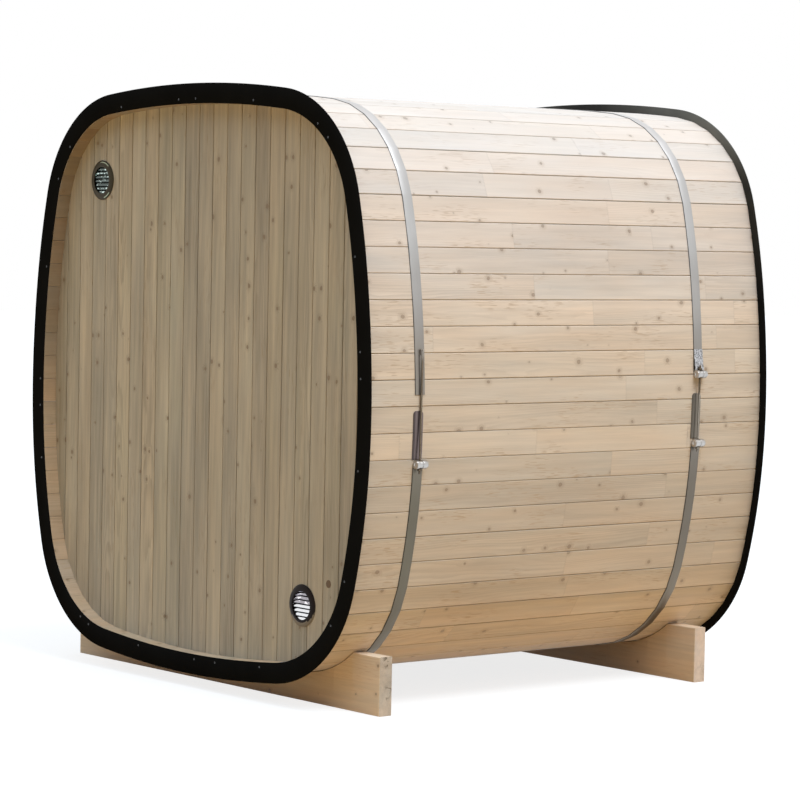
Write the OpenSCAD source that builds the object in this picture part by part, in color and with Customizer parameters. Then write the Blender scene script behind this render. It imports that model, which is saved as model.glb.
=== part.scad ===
// Barrel sauna with a rounded-square section: staves held by steel bands on two cradles.
// X runs across the barrel, Y along it and Z up. The vented end wall faces -Y.
// The origin is on the ground, below the middle of the barrel.

/* [Stave shell] */
// Width across the outer faces of the side staves
shell_w = 1990; // [1900:1:2080]
// Height across the outer faces of the roof and floor staves
shell_h = 2032; // [1960:1:2100]
// Length of a stave
stave_len = 1848; // [1500:1:2400]
// Thickness of a stave
stave_t = 42; // [36:1:48]
// Radius of the bulging sides
side_r = 2682; // [2400:1:3200]
// Radius of the roof and of the floor
roof_r = 4945; // [4200:1:6000]
// Radius of the four corners
corner_r = 446; // [400:1:480]
// Gap between one stave and the next
stave_gap = 0.8; // [0.5:0.1:1.5]
// Bevel along the outer edges of a stave
stave_bevel = 3; // [1:0.5:5]
// How far each side of the lower half is pushed out by the weight of the barrel
sag = 14; // [0:1:25]
// Height of the middle of the barrel above the ground
axis_z = 1094; // [1090:1:1200]

/* [End walls] */
// Thickness of an end wall
wall_t = 42; // [36:1:48]
// Depth of an end wall behind the ends of the staves
wall_recess = 53; // [30:1:90]
// Clearance between an end wall and the staves round it
wall_gap = 0.3; // [0.2:0.1:1]

/* [Trim rings] */
// Thickness of the steel ring over the ends of the staves
ring_t = 5; // [3:0.5:8]
// How far a ring stands out beyond the staves
ring_lip = 30; // [15:1:45]

/* [Cradles] */
// Length of a cradle, across the barrel
cradle_len = 1826; // [1600:2:1900]
// Thickness of a cradle, along the barrel
cradle_t = 55; // [45:1:75]
// Height of a cradle at its ends
cradle_h = 201; // [170:1:240]
// Middle of the front cradle, from the front end of the barrel
front_cradle_y = 182; // [120:1:300]
// Middle of the rear cradle, from the front end of the barrel
rear_cradle_y = 1664; // [1450:1:1740]

/* [Steel bands] */
// Width of a band
band_w = 42; // [30:1:50]
// Thickness of a band
band_t = 1.5; // [1:0.1:2.5]
// Middle of the front band, from the front end of the barrel
front_band_y = 233; // [232:1:400]
// Middle of the rear band, from the front end of the barrel
rear_band_y = 1532; // [1300:1:1560]
// How far the foot of the front band stands behind its top
front_band_lean = 6; // [-20:1:20]
// How far the foot of the rear band stands behind its top
rear_band_lean = -22; // [-24:1:20]
// Height of the upper end of the front band's tension rod, from mid-height
front_rod_top_z = 146; // [120:1:160]
// Height of the upper end of the front band, from mid-height
front_band_end_z = -6; // [-20:1:20]
// Height of the front barrel nut, from mid-height
front_nut_z = -236; // [-300:1:-180]
// Height of the rear lower barrel nut, from mid-height
rear_low_nut_z = -201; // [-260:1:-150]
// Height of the rear upper barrel nut, from mid-height
rear_top_nut_z = 45; // [30:1:120]
// Length of the guard strip under a tension rod
guard_len = 178; // [120:1:185]

/* [Barrel nuts] */
// Diameter of a barrel nut inside its loop of band
nut_d = 26; // [20:1:26]
// How far a barrel nut reaches past the edge of its band
nut_reach = 1; // [0.5:0.5:10]
// Diameter of the head on the end of a barrel nut
nut_head_d = 25; // [18:1:28]
// Length of that head
nut_head_len = 4; // [2:1:20]
// Diameter of a tension rod
rod_d = 8; // [6:1:10]
// How far the foot of a tension rod stands behind the middle of its band
rod_shift = -3; // [-5:1:5]
// How far the top of the front tension rod stands behind the middle of its band
front_rod_top_shift = 6; // [-5:1:8]
// How far a guard strip stands behind the middle of its band
guard_shift = -6; // [-8:1:4]

/* [Vents] */
// Outer diameter of a vent's rim
vent_d = 146; // [130:1:170]
// Diameter of the hole through the wall
vent_hole_d = 112; // [90:1:120]
// Number of louvre blades in a vent
blade_count = 7; // [5:1:9]
// Distance from one louvre blade to the next
blade_pitch = 14.3; // [12:0.1:16]
// Upper vent, across the barrel from the middle
upper_vent_x = -655; // [-700:1:-560]
// Upper vent, above mid-height
upper_vent_z = 706; // [600:1:740]
// Lower vent, across the barrel from the middle
lower_vent_x = 606; // [540:1:680]
// Lower vent, above mid-height
lower_vent_z = -744; // [-760:1:-650]

/* [Hidden] */

// Staves in each stretch of the outline: a side, a corner, and the roof or the floor
side_staves = 15;
corner_staves = 6;
roof_staves_n = 12;
stave_count = 2 * side_staves + 4 * corner_staves + 2 * roof_staves_n;

// Ends of the barrel
front_y = -stave_len / 2 - ring_t;
rear_y = stave_len / 2 + ring_t;

// The outline is a rounded square of arcs that meet smoothly. One quarter runs from the
// middle of the right side up to the middle of the roof.
side_c = shell_w / 2 - side_r;
roof_c = shell_h / 2 - roof_r;
centre_span = norm([side_c, roof_c]);
span_dir = [-side_c, roof_c] / centre_span;
side_reach = side_r - corner_r;
roof_reach = roof_r - corner_r;
along = (side_reach * side_reach - roof_reach * roof_reach + centre_span * centre_span)
    / (2 * centre_span);
aside = sqrt(side_reach * side_reach - along * along);
corner_c = [side_c, 0] + along * span_dir + aside * [-span_dir[1], span_dir[0]];
side_end = atan2(corner_c[1], corner_c[0] - side_c);
corner_end = atan2(corner_c[1] - roof_c, corner_c[0]);

function arc_len(r, degrees) = r * degrees * PI / 180;
function arc_angle(r, len) = len / r * 180 / PI;

side_len = arc_len(side_r, side_end);
corner_len = arc_len(corner_r, corner_end - side_end);
roof_len = arc_len(roof_r, 90 - corner_end);
quarter = side_len + corner_len + roof_len;
pitch = 4 * quarter / stave_count;

// Centre, radius and angle of the outline at a distance s along one quarter
function arc_at(s) =
    s <= side_len ? [side_c, 0, side_r, arc_angle(side_r, s)]
    : s <= side_len + corner_len
        ? [corner_c[0], corner_c[1], corner_r, side_end + arc_angle(corner_r, s - side_len)]
    : [0, roof_c, roof_r, corner_end + arc_angle(roof_r, s - side_len - corner_len)];

// A point of the outline, pushed out sideways where the lower half sags
sag_z = -520;
sag_reach = 860;
function sagged(p) =
    let (turn = min(180, abs(p[1] - sag_z) / sag_reach * 180))
    [p[0] * (1 + sag / shell_w * (1 + cos(turn))), p[1]];

function quarter_pt(s, out) = let (a = arc_at(s))
    [a[0] + (a[2] + out) * cos(a[3]), a[1] + (a[2] + out) * sin(a[3])];

// Point on the outline at distance s from the middle of the right side, moved outwards by out
function shell_pt(s, out) =
    let (
        t = s - floor(s / (4 * quarter)) * 4 * quarter,
        k = min(3, floor(t / quarter)),
        m = t - k * quarter,
        p = quarter_pt(k % 2 == 0 ? m : quarter - m, out)
    ) sagged([k == 0 || k == 3 ? p[0] : -p[0], k < 2 ? p[1] : -p[1]]);

// Point on the right side at height z from mid-height, moved outwards by out
function side_pt(z, out) = let (a = asin(z / side_r))
    sagged([side_c + (side_r + out) * cos(a), (side_r + out) * sin(a)]);

// Angles about X and Y that turn the vertical to the line from a up to b, which ends aside from it
function rod_turn(a, b, aside) = [-atan(aside / norm(b - a)), atan2(b[0] - a[0], b[1] - a[1]), 0];

// Places and sizes of the tensioners, on the right side
bore_gap = 0.3;
loop_r = nut_d / 2 + 0.2 + band_t;
band_gap = 0.3;
front_low = side_pt(front_nut_z, loop_r + band_gap);
front_top = side_pt(front_rod_top_z, loop_r - 2.4);
rear_low = side_pt(rear_low_nut_z, loop_r + band_gap);
rear_top = side_pt(rear_top_nut_z, loop_r + band_gap);
front_aside = front_rod_top_shift - rod_shift;
slot_w = rod_d + 5;
lug_len = 20;
lug_w = 12;
guard_r = 12;
hex_d = rod_d * 2;
hex_h = rod_d * 0.8;
hex_off = loop_r + 0.5;
rod_end = hex_h + 10;

// Draws a flat outline across the barrel and runs it from y0 to y1
module along_barrel(y0, y1) {
    translate([0, y1, axis_z])
        rotate([90, 0, 0])
            linear_extrude(height = y1 - y0)
                children();
}

// The whole outline, moved outwards by out, with two points for each stave
module outline(out) {
    polygon([for (i = [0:2 * stave_count - 1]) shell_pt(i * pitch / 2, out)]);
}

// The outline through the seams of the staves, moved outwards by out
module seam_outline(out) {
    polygon([for (i = [0:stave_count - 1]) shell_pt((i + 0.5) * pitch, out)]);
}

// Section of stave number k, counted from the middle of the right side
module stave_section(k) {
    s0 = (k - 0.5) * pitch + stave_gap / 2;
    s1 = (k + 0.5) * pitch - stave_gap / 2;
    p0 = shell_pt(s0, 0);
    p1 = shell_pt(s1, 0);
    step = (p1 - p0) / norm(p1 - p0) * stave_bevel;
    polygon([
        shell_pt(s0, -stave_t), shell_pt(s0, -stave_bevel), p0 + step,
        p1 - step, shell_pt(s1, -stave_bevel), shell_pt(s1, -stave_t)
    ]);
}

// A run of staves from number first, count of them
module staves(first, count) {
    color("burlywood")
        along_barrel(-stave_len / 2, stave_len / 2)
            for (k = [first:first + count - 1])
                stave_section(k);
}

module vent_hole(x, z) {
    translate([x, z])
        circle(d = vent_hole_d, $fn = 72);
}

// End wall between y0 and y1, cut to the inner faces of the staves
module end_wall(y0, vented) {
    color("wheat")
        along_barrel(y0, y0 + wall_t)
            difference() {
                seam_outline(-stave_t - wall_gap);
                if (vented) {
                    vent_hole(upper_vent_x, upper_vent_z);
                    vent_hole(lower_vent_x, lower_vent_z);
                }
            }
}

module trim_ring(y0) {
    color("black")
        along_barrel(y0, y0 + ring_t)
            difference() {
                outline(ring_lip);
                outline(-stave_t);
            }
}

module cradle(mid) {
    y0 = front_y + mid - cradle_t / 2;
    color("tan")
        difference() {
            translate([-cradle_len / 2, y0, 0])
                cube([cradle_len, cradle_t, cradle_h]);
            along_barrel(y0 - 1, y0 + cradle_t + 1)
                outline(0.2);
        }
}

// Loop at the end of a band, as a flat outline
module loop_section(centre, r) {
    translate(centre)
        difference() {
            circle(r = r, $fn = 48);
            circle(r = r - band_t, $fn = 48);
        }
}

// Leans children, drawn round a band at mid, so that the foot stands back by run
module leaned(mid, run) {
    translate([0, front_y + mid, axis_z])
        rotate([atan(run / shell_h), 0, 0])
            translate([0, -front_y - mid, -axis_z])
                children();
}

// Puts children at low, with their z axis along the rod from low to top
module on_rod(mid, low, top, aside = 0) {
    translate([low[0], front_y + mid + rod_shift, axis_z + low[1]])
        rotate(rod_turn(low, top, aside))
            children();
}

// A band round the staves, open on the right side from height z0 to z1, with a loop at each of
// the given places and a slot through each loop for a rod
module band(mid, z0, z1, loops) {
    y0 = front_y + mid - band_w / 2;
    slot_in = loop_r - band_t - 0.5;
    color("silver")
        difference() {
            along_barrel(y0, y0 + band_w) {
                difference() {
                    outline(band_gap + band_t);
                    outline(band_gap);
                    translate([0, z0])
                        square([shell_w, z1 - z0]);
                }
                for (centre = loops)
                    loop_section(centre, loop_r);
            }
            for (centre = loops)
                translate([
                    centre[0] - slot_in,
                    front_y + mid + rod_shift - slot_w / 2,
                    axis_z + centre[1] - 2 * loop_r
                ])
                    cube([slot_in + 2 * loop_r, slot_w, 4 * loop_r]);
        }
}

// A barrel nut in the loop at centre, with a head on the end that faces the rear
module barrel_nut(mid, centre, low, top, aside = 0) {
    far_end = band_w / 2 + nut_reach;
    color("gainsboro")
        difference() {
            translate([centre[0], front_y + mid + far_end, axis_z + centre[1]])
                rotate([90, 0, 0]) {
                    cylinder(d = nut_d, h = band_w + nut_reach + 1, $fn = 48);
                    translate([0, 0, -nut_head_len])
                        cylinder(d = nut_head_d, h = nut_head_len, $fn = 48);
                }
            on_rod(mid, low, top, aside)
                translate([0, 0, -2 * nut_d])
                    cylinder(d = rod_d + 2 * bore_gap, h = norm(top - low) + 4 * nut_d, $fn = 32);
        }
}

// A tension rod from below low up to reach beyond top, with a nut at each height in nuts
module tension_rod(mid, low, top, reach, nuts, aside = 0) {
    color("peru")
        on_rod(mid, low, top, aside) {
            translate([0, 0, -hex_off - rod_end])
                cylinder(d = rod_d, h = hex_off + rod_end + norm(top - low) + reach, $fn = 32);
            for (z = nuts)
                translate([0, 0, z])
                    cylinder(d = hex_d, h = hex_h, $fn = 6);
        }
}

// A lug that holds the upper end of a rod off the band under it, from height z0 to z1
module lug(mid, z0, z1, out) {
    y = front_y + mid + front_rod_top_shift;
    color("peru")
        along_barrel(y - lug_w / 2, y + lug_w / 2)
            polygon([
                side_pt(z0, band_gap + band_t), side_pt(z0, out),
                side_pt(z1, out), side_pt(z1, band_gap + band_t)
            ]);
}

// A strip with rounded upper corners that keeps a tension rod off the wood
module guard_strip(mid, low) {
    z0 = low[1] + loop_r + 1;
    z1 = low[1] + guard_len;
    y = front_y + mid + guard_shift;
    half = band_w / 2;
    color("slategray")
        intersection() {
            along_barrel(y - half, y + half)
                difference() {
                    outline(band_gap + band_t);
                    outline(band_gap);
                }
            translate([0, y, axis_z])
                rotate([90, 0, 90])
                    linear_extrude(height = shell_w) {
                        translate([-half, z0])
                            square([band_w, z1 - guard_r - z0]);
                        translate([guard_r - half, z0])
                            square([band_w - 2 * guard_r, z1 - z0]);
                        for (side = [-1, 1])
                            translate([side * (half - guard_r), z1 - guard_r])
                                circle(r = guard_r, $fn = 48);
                    }
        }
}

upper_vent = [upper_vent_x, upper_vent_z];
lower_vent = [lower_vent_x, lower_vent_z];
duct_r = vent_hole_d / 2 - bore_gap;
sleeve_t = 1.5;
rim_h = 7;

// Puts a vent piece, drawn with its outer side up, on the front wall
module on_front_wall(place) {
    translate([place[0], front_y + ring_t + wall_recess, axis_z + place[1]])
        rotate([90, 0, 0])
            children();
}

// Rim and sleeve of a vent
module vent_frame(place) {
    color("silver")
        on_front_wall(place)
            rotate_extrude($fn = 72)
                polygon([
                    [duct_r - sleeve_t, -wall_t], [duct_r, -wall_t], [duct_r, 0.1],
                    [vent_d / 2, 0.1], [vent_d / 2, 1.5], [vent_d / 2 - 6, rim_h * 0.8],
                    [vent_d / 2 - 12, rim_h], [duct_r - sleeve_t, rim_h * 0.6]
                ]);
}

// Sloping blades of a vent, on a thin hoop inside its sleeve
module vent_louvres(place) {
    hoop_r = duct_r - sleeve_t - 0.2;
    hoop_h = 12;
    color("gainsboro")
        on_front_wall(place)
            translate([0, 0, -hoop_h])
                intersection() {
                    cylinder(r = hoop_r, h = hoop_h + 3, $fn = 72);
                    union() {
                        difference() {
                            cylinder(r = hoop_r, h = hoop_h, $fn = 72);
                            translate([0, 0, -1])
                                cylinder(r = hoop_r - 1.2, h = hoop_h + 2, $fn = 72);
                        }
                        for (i = [0:blade_count - 1])
                            translate([0, (i - (blade_count - 1) / 2) * blade_pitch, hoop_h / 2])
                                rotate([-40, 0, 0])
                                    cube([2 * hoop_r, 15, 1.2], center = true);
                    }
                }
}

module roof_staves() { staves(14, roof_staves_n); }
module floor_staves() { staves(53, roof_staves_n); }
module right_staves() { staves(-7, side_staves); }
module left_staves() { staves(32, side_staves); }
module upper_right_staves() { staves(8, corner_staves); }
module upper_left_staves() { staves(26, corner_staves); }
module lower_left_staves() { staves(47, corner_staves); }
module lower_right_staves() { staves(65, corner_staves); }
module front_wall() { end_wall(front_y + ring_t + wall_recess, true); }
module rear_wall() { end_wall(rear_y - ring_t - wall_recess - wall_t, false); }
module front_trim_ring() { trim_ring(front_y); }
module rear_trim_ring() { trim_ring(rear_y - ring_t); }
module front_cradle() { cradle(front_cradle_y); }
module rear_cradle() { cradle(rear_cradle_y); }

module on_front_band() { leaned(front_band_y, front_band_lean) children(); }
module on_rear_band() { leaned(rear_band_y, rear_band_lean) children(); }

module front_band() {
    on_front_band()
        band(front_band_y, front_nut_z + band_t, front_band_end_z, [front_low]);
}

module rear_band() {
    on_rear_band()
        band(rear_band_y, rear_low_nut_z + band_t, rear_top_nut_z - band_t, [rear_low, rear_top]);
}

module front_barrel_nut() {
    on_front_band()
        barrel_nut(front_band_y, front_low, front_low, front_top, front_aside);
}

module rear_upper_barrel_nut() {
    on_rear_band()
        barrel_nut(rear_band_y, rear_top, rear_low, rear_top);
}

module rear_lower_barrel_nut() {
    on_rear_band()
        barrel_nut(rear_band_y, rear_low, rear_low, rear_top);
}

module front_tension_rod() {
    on_front_band() {
        tension_rod(front_band_y, front_low, front_top, 0, [-hex_off - hex_h], front_aside);
        lug(front_band_y, front_rod_top_z - lug_len, front_rod_top_z, loop_r - 3);
    }
}

module rear_tension_rod() {
    top_nut = norm(rear_top - rear_low) + hex_off;
    on_rear_band()
        tension_rod(rear_band_y, rear_low, rear_top, hex_off + rod_end,
            [-hex_off - hex_h, top_nut]);
}

module front_guard_strip() {
    on_front_band()
        guard_strip(front_band_y, front_low);
}

module rear_guard_strip() {
    on_rear_band()
        guard_strip(rear_band_y, rear_low);
}

module upper_vent_frame() { vent_frame(upper_vent); }
module upper_vent_louvres() { vent_louvres(upper_vent); }
module lower_vent_frame() { vent_frame(lower_vent); }
module lower_vent_louvres() { vent_louvres(lower_vent); }

roof_staves();
floor_staves();
left_staves();
right_staves();
upper_left_staves();
upper_right_staves();
lower_left_staves();
lower_right_staves();
front_wall();
rear_wall();
front_trim_ring();
rear_trim_ring();
front_cradle();
rear_cradle();
front_band();
rear_band();
front_barrel_nut();
rear_upper_barrel_nut();
rear_lower_barrel_nut();
front_tension_rod();
rear_tension_rod();
front_guard_strip();
rear_guard_strip();
upper_vent_frame();
upper_vent_louvres();
lower_vent_frame();
lower_vent_louvres();
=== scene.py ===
"""Cube barrel sauna: staves in a rounded square, drawn tight by two steel bands on two cradles."""

import logging
import math
import random
from dataclasses import dataclass, field, replace
from enum import Enum
from functools import cached_property
from itertools import pairwise
from typing import Sequence, Union

import bmesh
import bpy
from mathutils import Matrix, Vector


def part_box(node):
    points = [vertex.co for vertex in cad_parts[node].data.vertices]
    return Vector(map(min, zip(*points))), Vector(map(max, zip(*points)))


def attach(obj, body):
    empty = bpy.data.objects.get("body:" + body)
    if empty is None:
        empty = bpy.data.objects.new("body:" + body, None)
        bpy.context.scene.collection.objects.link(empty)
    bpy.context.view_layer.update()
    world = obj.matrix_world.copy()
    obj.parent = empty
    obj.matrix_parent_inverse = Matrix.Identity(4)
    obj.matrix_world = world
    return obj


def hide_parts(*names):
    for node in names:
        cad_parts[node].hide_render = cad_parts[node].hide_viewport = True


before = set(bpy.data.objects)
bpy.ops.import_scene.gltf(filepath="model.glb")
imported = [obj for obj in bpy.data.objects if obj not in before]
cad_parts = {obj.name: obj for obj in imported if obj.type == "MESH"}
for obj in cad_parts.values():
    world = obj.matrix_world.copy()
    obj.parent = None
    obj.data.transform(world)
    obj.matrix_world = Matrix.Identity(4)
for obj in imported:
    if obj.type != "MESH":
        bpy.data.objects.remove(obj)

log = logging.getLogger("sauna")

Flat = tuple[float, float]
Colour = tuple[float, float, float]
Material = bpy.types.Material
Mesh = bpy.types.Mesh
Given = Union["Value", float, Sequence[float]]

FAR = 9.0  # distance to an end that is no joint, in metres
WHITE = (1.0, 1.0, 1.0)
X, Y, Z = Vector((1, 0, 0)), Vector((0, 1, 0)), Vector((0, 0, 1))


# ---- Measurements taken from the CAD frame ----


class Side(Enum):
    """The two ends of the barrel; the value is the sign of the direction it faces along Y."""

    FRONT = -1
    REAR = 1

    def node(self, part: str) -> str:
        """Returns the name of the CAD node of a part at this end."""
        return f"{self.name.lower()}_{part}"


@dataclass(frozen=True)
class Span:
    """Box of one CAD node, in metres."""

    low: Vector
    high: Vector

    @classmethod
    def of(cls, *nodes: str) -> "Span":
        """Returns the box round one node or several."""
        lows, highs = zip(*(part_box(node) for node in nodes))
        return cls(Vector([min(v) for v in zip(*lows)]), Vector([max(v) for v in zip(*highs)]))

    @property
    def middle(self) -> Vector:
        """Returns the middle of the box."""
        return (self.low + self.high) / 2

    @property
    def size(self) -> Vector:
        """Returns the lengths of the box's sides."""
        return self.high - self.low


@dataclass(frozen=True)
class Outline:
    """Rounded square of arcs that meet smoothly, seen from the vented end of the barrel.

    Distances run along the outline from the middle of the right side upwards, and points are
    measured from the axis of the barrel. The weight spreads the lower half: each side stands
    out by sag at the height sag_z, and by less up to sag_reach above and below it.
    """

    width: float
    height: float
    axis_z: float
    side_r: float = 2.682
    roof_r: float = 4.945
    corner_r: float = 0.446
    staves: int = 78
    sag: float = 0.014
    sag_z: float = -0.520
    sag_reach: float = 0.860

    @classmethod
    def measured(cls) -> "Outline":
        """Returns the outline of the staves' outer faces, from the CAD nodes."""
        across = Span.of("left_staves", "right_staves")
        upright = Span.of("roof_staves", "floor_staves")
        plain = cls(across.size.x, upright.size.z, upright.middle.z)
        widest = 2 * max(p.x for p in plain.seam_loop(0.0))
        return replace(plain, width=across.size.x**2 / widest)

    @cached_property
    def side_c(self) -> float:
        """Returns the x of the centre of the right side's arc."""
        return self.width / 2 - self.side_r

    @cached_property
    def roof_c(self) -> float:
        """Returns the z of the centre of the roof's arc."""
        return self.height / 2 - self.roof_r

    @cached_property
    def corner_c(self) -> Flat:
        """Returns the centre of the upper right corner's arc."""
        span = math.hypot(self.side_c, self.roof_c)
        ux, uz = -self.side_c / span, self.roof_c / span
        a, b = self.side_r - self.corner_r, self.roof_r - self.corner_r
        along = (a * a - b * b + span * span) / (2 * span)
        aside = math.sqrt(a * a - along * along)
        return self.side_c + along * ux - aside * uz, along * uz + aside * ux

    @cached_property
    def turns(self) -> Flat:
        """Returns the angles at which the corner's arc starts and ends."""
        x, z = self.corner_c
        return math.atan2(z, x - self.side_c), math.atan2(z - self.roof_c, x)

    @cached_property
    def lengths(self) -> tuple[float, float, float]:
        """Returns the lengths of the side's, the corner's and the roof's arcs in one quarter."""
        start, end = self.turns
        roof = self.roof_r * (math.pi / 2 - end)
        return self.side_r * start, self.corner_r * (end - start), roof

    @cached_property
    def whole(self) -> float:
        """Returns the length of the outline."""
        return 4 * sum(self.lengths)

    @property
    def pitch(self) -> float:
        """Returns the distance from one seam to the next."""
        return self.whole / self.staves

    def sagged(self, x: float, z: float) -> Vector:
        """Returns a point, pushed out sideways where the weight spreads the lower half."""
        turn = min(math.pi, abs(z - self.sag_z) / self.sag_reach * math.pi)
        return Vector((x * (1 + self.sag / self.width * (1 + math.cos(turn))), z))

    def point(self, s: float, out: float = 0.0) -> Vector:
        """Finds a point of the outline.

        Args:
            s: Distance along the outline, from the middle of the right side upwards.
            out: How far the point is moved outwards.

        Returns:
            The point, with x across and y upwards from the axis.
        """
        s %= self.whole
        length = self.whole / 4
        quarter = min(3, int(s // length))
        rest = s - quarter * length
        if quarter % 2:
            rest = length - rest
        side, corner, _ = self.lengths
        start, end = self.turns
        if rest <= side:
            x, z, r, turn = self.side_c, 0.0, self.side_r, rest / self.side_r
        elif rest <= side + corner:
            x, z, r, turn = *self.corner_c, self.corner_r, start + (rest - side) / self.corner_r
        else:
            x, z, r, turn = 0.0, self.roof_c, self.roof_r, end + (rest - side - corner) / self.roof_r
        px, pz = x + (r + out) * math.cos(turn), z + (r + out) * math.sin(turn)
        return self.sagged(px if quarter in (0, 3) else -px, pz if quarter < 2 else -pz)

    def normal(self, s: float) -> Vector:
        """Returns the outward direction at a distance along the outline."""
        return (self.point(s, 0.01) - self.point(s)).normalized()

    def side_point(self, z: float, out: float) -> Vector:
        """Finds a point of the right side.

        Args:
            z: Height on the arc of the side, above the axis.
            out: How far the point is moved outwards.

        Returns:
            The point, with x across and y upwards from the axis.
        """
        turn = math.asin(z / self.side_r)
        r = self.side_r + out
        return self.sagged(self.side_c + r * math.cos(turn), r * math.sin(turn))

    def world(self, flat: Vector, y: float) -> Vector:
        """Returns the place in the frame of a point of the section at y along the barrel."""
        return Vector((flat.x, y, self.axis_z + flat.y))

    def seam_loop(self, out: float) -> list[Vector]:
        """Returns the polygon through the seams, moved outwards by out."""
        return [self.point((k + 0.5) * self.pitch, out) for k in range(self.staves)]


# ---- Mesh drafts ----


def standing(at: Sequence[float], turn: float) -> Matrix:
    """Returns a place at a point, with its z axis turned about X."""
    return Matrix.Translation(at) @ Matrix.Rotation(turn, 4, "X")


def in_scene(name: str, data: bpy.types.ID) -> bpy.types.Object:
    """Adds an object to the scene.

    Args:
        name: Its name.
        data: What it shows.

    Returns:
        The object.
    """
    made = bpy.data.objects.new(name, data)
    bpy.context.scene.collection.objects.link(made)
    return made


def smooth(mesh: Mesh, sharp: float) -> None:
    """Shades a mesh smooth but for the edges above an angle in degrees."""
    mesh.shade_smooth()
    mesh.set_sharp_from_angle(angle=math.radians(sharp))


@dataclass(frozen=True)
class Cut:
    """Where one length of wood lay in its trunk, with a tone of its own."""

    along: float
    reach: float
    turn: float
    tone: float

    @classmethod
    def pick(cls, chance: random.Random, tone: float | None = None) -> "Cut":
        """Picks a cut at a random place of a trunk.

        Args:
            chance: Source of the place.
            tone: Its tone, kept between 0 and 1, or None for a random one.

        Returns:
            The cut.
        """
        return cls(
            along=chance.uniform(0.0, 60.0),
            reach=chance.uniform(0.05, 0.17),
            turn=chance.uniform(0.0, math.tau),
            tone=chance.random() if tone is None else min(1.0, max(0.0, tone)),
        )


@dataclass(frozen=True)
class Board:
    """One length of wood: its middle, the direction of its grain and its ends."""

    middle: Vector
    grain: Vector
    across: Vector
    cut: Cut
    start: float = -FAR
    end: float = FAR

    def coordinates(self, place: Vector) -> tuple[Vector, Vector]:
        """Finds where a place of the board lies in its trunk.

        Args:
            place: A point on the board's surface, in the frame.

        Returns:
            The place in the trunk (along it and off its pith), and its distances from both
            ends and from the middle of the board's width.
        """
        off = place - self.middle
        u, a, b = off.dot(self.grain), off.dot(self.across), off.dot(self.grain.cross(self.across))
        c, s = math.cos(self.cut.turn), math.sin(self.cut.turn)
        trunk = Vector((u + self.cut.along, self.cut.reach + a * c + b * s, b * c - a * s))
        return trunk, Vector((u - self.start, self.end - u, a))


class Ends(Enum):
    """How the first and the last ring of a skin are closed."""

    FACED = "by one face each"
    PAIRED = "by strips between opposite points of the ring"
    JOINED = "by meeting each other"
    OPEN = "not at all"


@dataclass
class Draft:
    """Points and faces gathered before a mesh is made of them, with a group for each face."""

    points: list[Vector] = field(default_factory=list)
    faces: list[list[int]] = field(default_factory=list)
    groups: list[int] = field(default_factory=list)

    def add(self, group: int, *corners: int) -> None:
        """Adds a face between points, in a group."""
        self.faces.append(list(corners))
        self.groups.append(group)

    def strips(
        self,
        rings: Sequence[Sequence[Vector]],
        ends: Ends = Ends.FACED,
        groups: Sequence[int] = (),
    ) -> None:
        """Adds a skin over rings of points, one ring after the other.

        Args:
            rings: Rings with the same number of points each.
            ends: How the first and the last ring are closed.
            groups: Group of each stretch between two rings; group 0 if left out.
        """
        n, count, first = len(rings[0]), len(rings), len(self.points)
        groups = groups or [0] * count
        for ring in rings:
            self.points.extend(ring)
        for j in range(count if ends is Ends.JOINED else count - 1):
            here, there = first + j * n, first + (j + 1) % count * n
            for i in range(n):
                k = (i + 1) % n
                self.add(groups[j], here + i, here + k, there + k, there + i)
        caps = []
        if ends is Ends.FACED:
            caps = [range(n)[::-1]]
        elif ends is Ends.PAIRED:
            caps = [(i, n - 1 - i, n - 2 - i, i + 1) for i in range(n // 2 - 1)]
        for cap in caps:
            self.add(groups[0], *(first + i for i in cap))
            self.add(groups[-1], *(first + (count - 1) * n + i for i in cap[::-1]))

    def lathe(self, profile: Sequence[Flat], place: Matrix, sides: int = 48) -> None:
        """Adds a turned form.

        Args:
            profile: Radius and height of each point, starting and ending on the axis or, for a
                ring, coming back to its first point.
            place: Where the form's z axis stands.
            sides: Number of sides.
        """
        hollow = profile[0][0] > 0
        turns = [math.tau * (i + 0.5) / sides for i in range(sides)]
        rings = [
            [place @ Vector((r * math.cos(turn), r * math.sin(turn), h)) for turn in turns]
            for r, h in (profile if hollow else profile[1:-1])
        ]
        first = len(self.points)
        self.strips(rings, Ends.JOINED if hollow else Ends.OPEN)
        if hollow:
            return
        last = len(self.points) - sides
        for base, (_, h) in ((first, profile[0]), (last, profile[-1])):
            tip = len(self.points)
            self.points.append(place @ Vector((0, 0, h)))
            for i in range(sides):
                self.add(0, tip, base + i, base + (i + 1) % sides)

    @staticmethod
    def turn_outward(skin: bmesh.types.BMesh) -> None:
        """Turns the faces of every closed shell in a mesh outwards.

        Args:
            skin: The mesh, whose shells may each be wound either way.
        """
        bmesh.ops.recalc_face_normals(skin, faces=skin.faces)
        waiting = set(skin.faces)
        while waiting:
            shell = [waiting.pop()]
            for face in shell:
                near = {other for edge in face.edges for other in edge.link_faces} & waiting
                waiting -= near
                shell.extend(near)
            volume = 0.0
            for face in shell:
                first, *rest = [v.co for v in face.verts]
                volume += sum(first.dot(p.cross(q)) for p, q in pairwise(rest))
            closed = all(len(edge.link_faces) == 2 for face in shell for edge in face.edges)
            if closed and volume < 0.0:
                for face in shell:
                    face.normal_flip()

    def mesh(self, name: str, sharp: float = 30.0) -> Mesh:
        """Makes the mesh.

        Args:
            name: Name of the mesh.
            sharp: Angle, in degrees, above which an edge is shown sharp.

        Returns:
            The mesh, with its faces pointing outwards.
        """
        made = bpy.data.meshes.new(name)
        made.from_pydata([tuple(p) for p in self.points], [], self.faces)
        made.validate()
        skin = bmesh.new()
        skin.from_mesh(made)
        self.turn_outward(skin)
        skin.to_mesh(made)
        skin.free()
        smooth(made, sharp)
        return made


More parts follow.
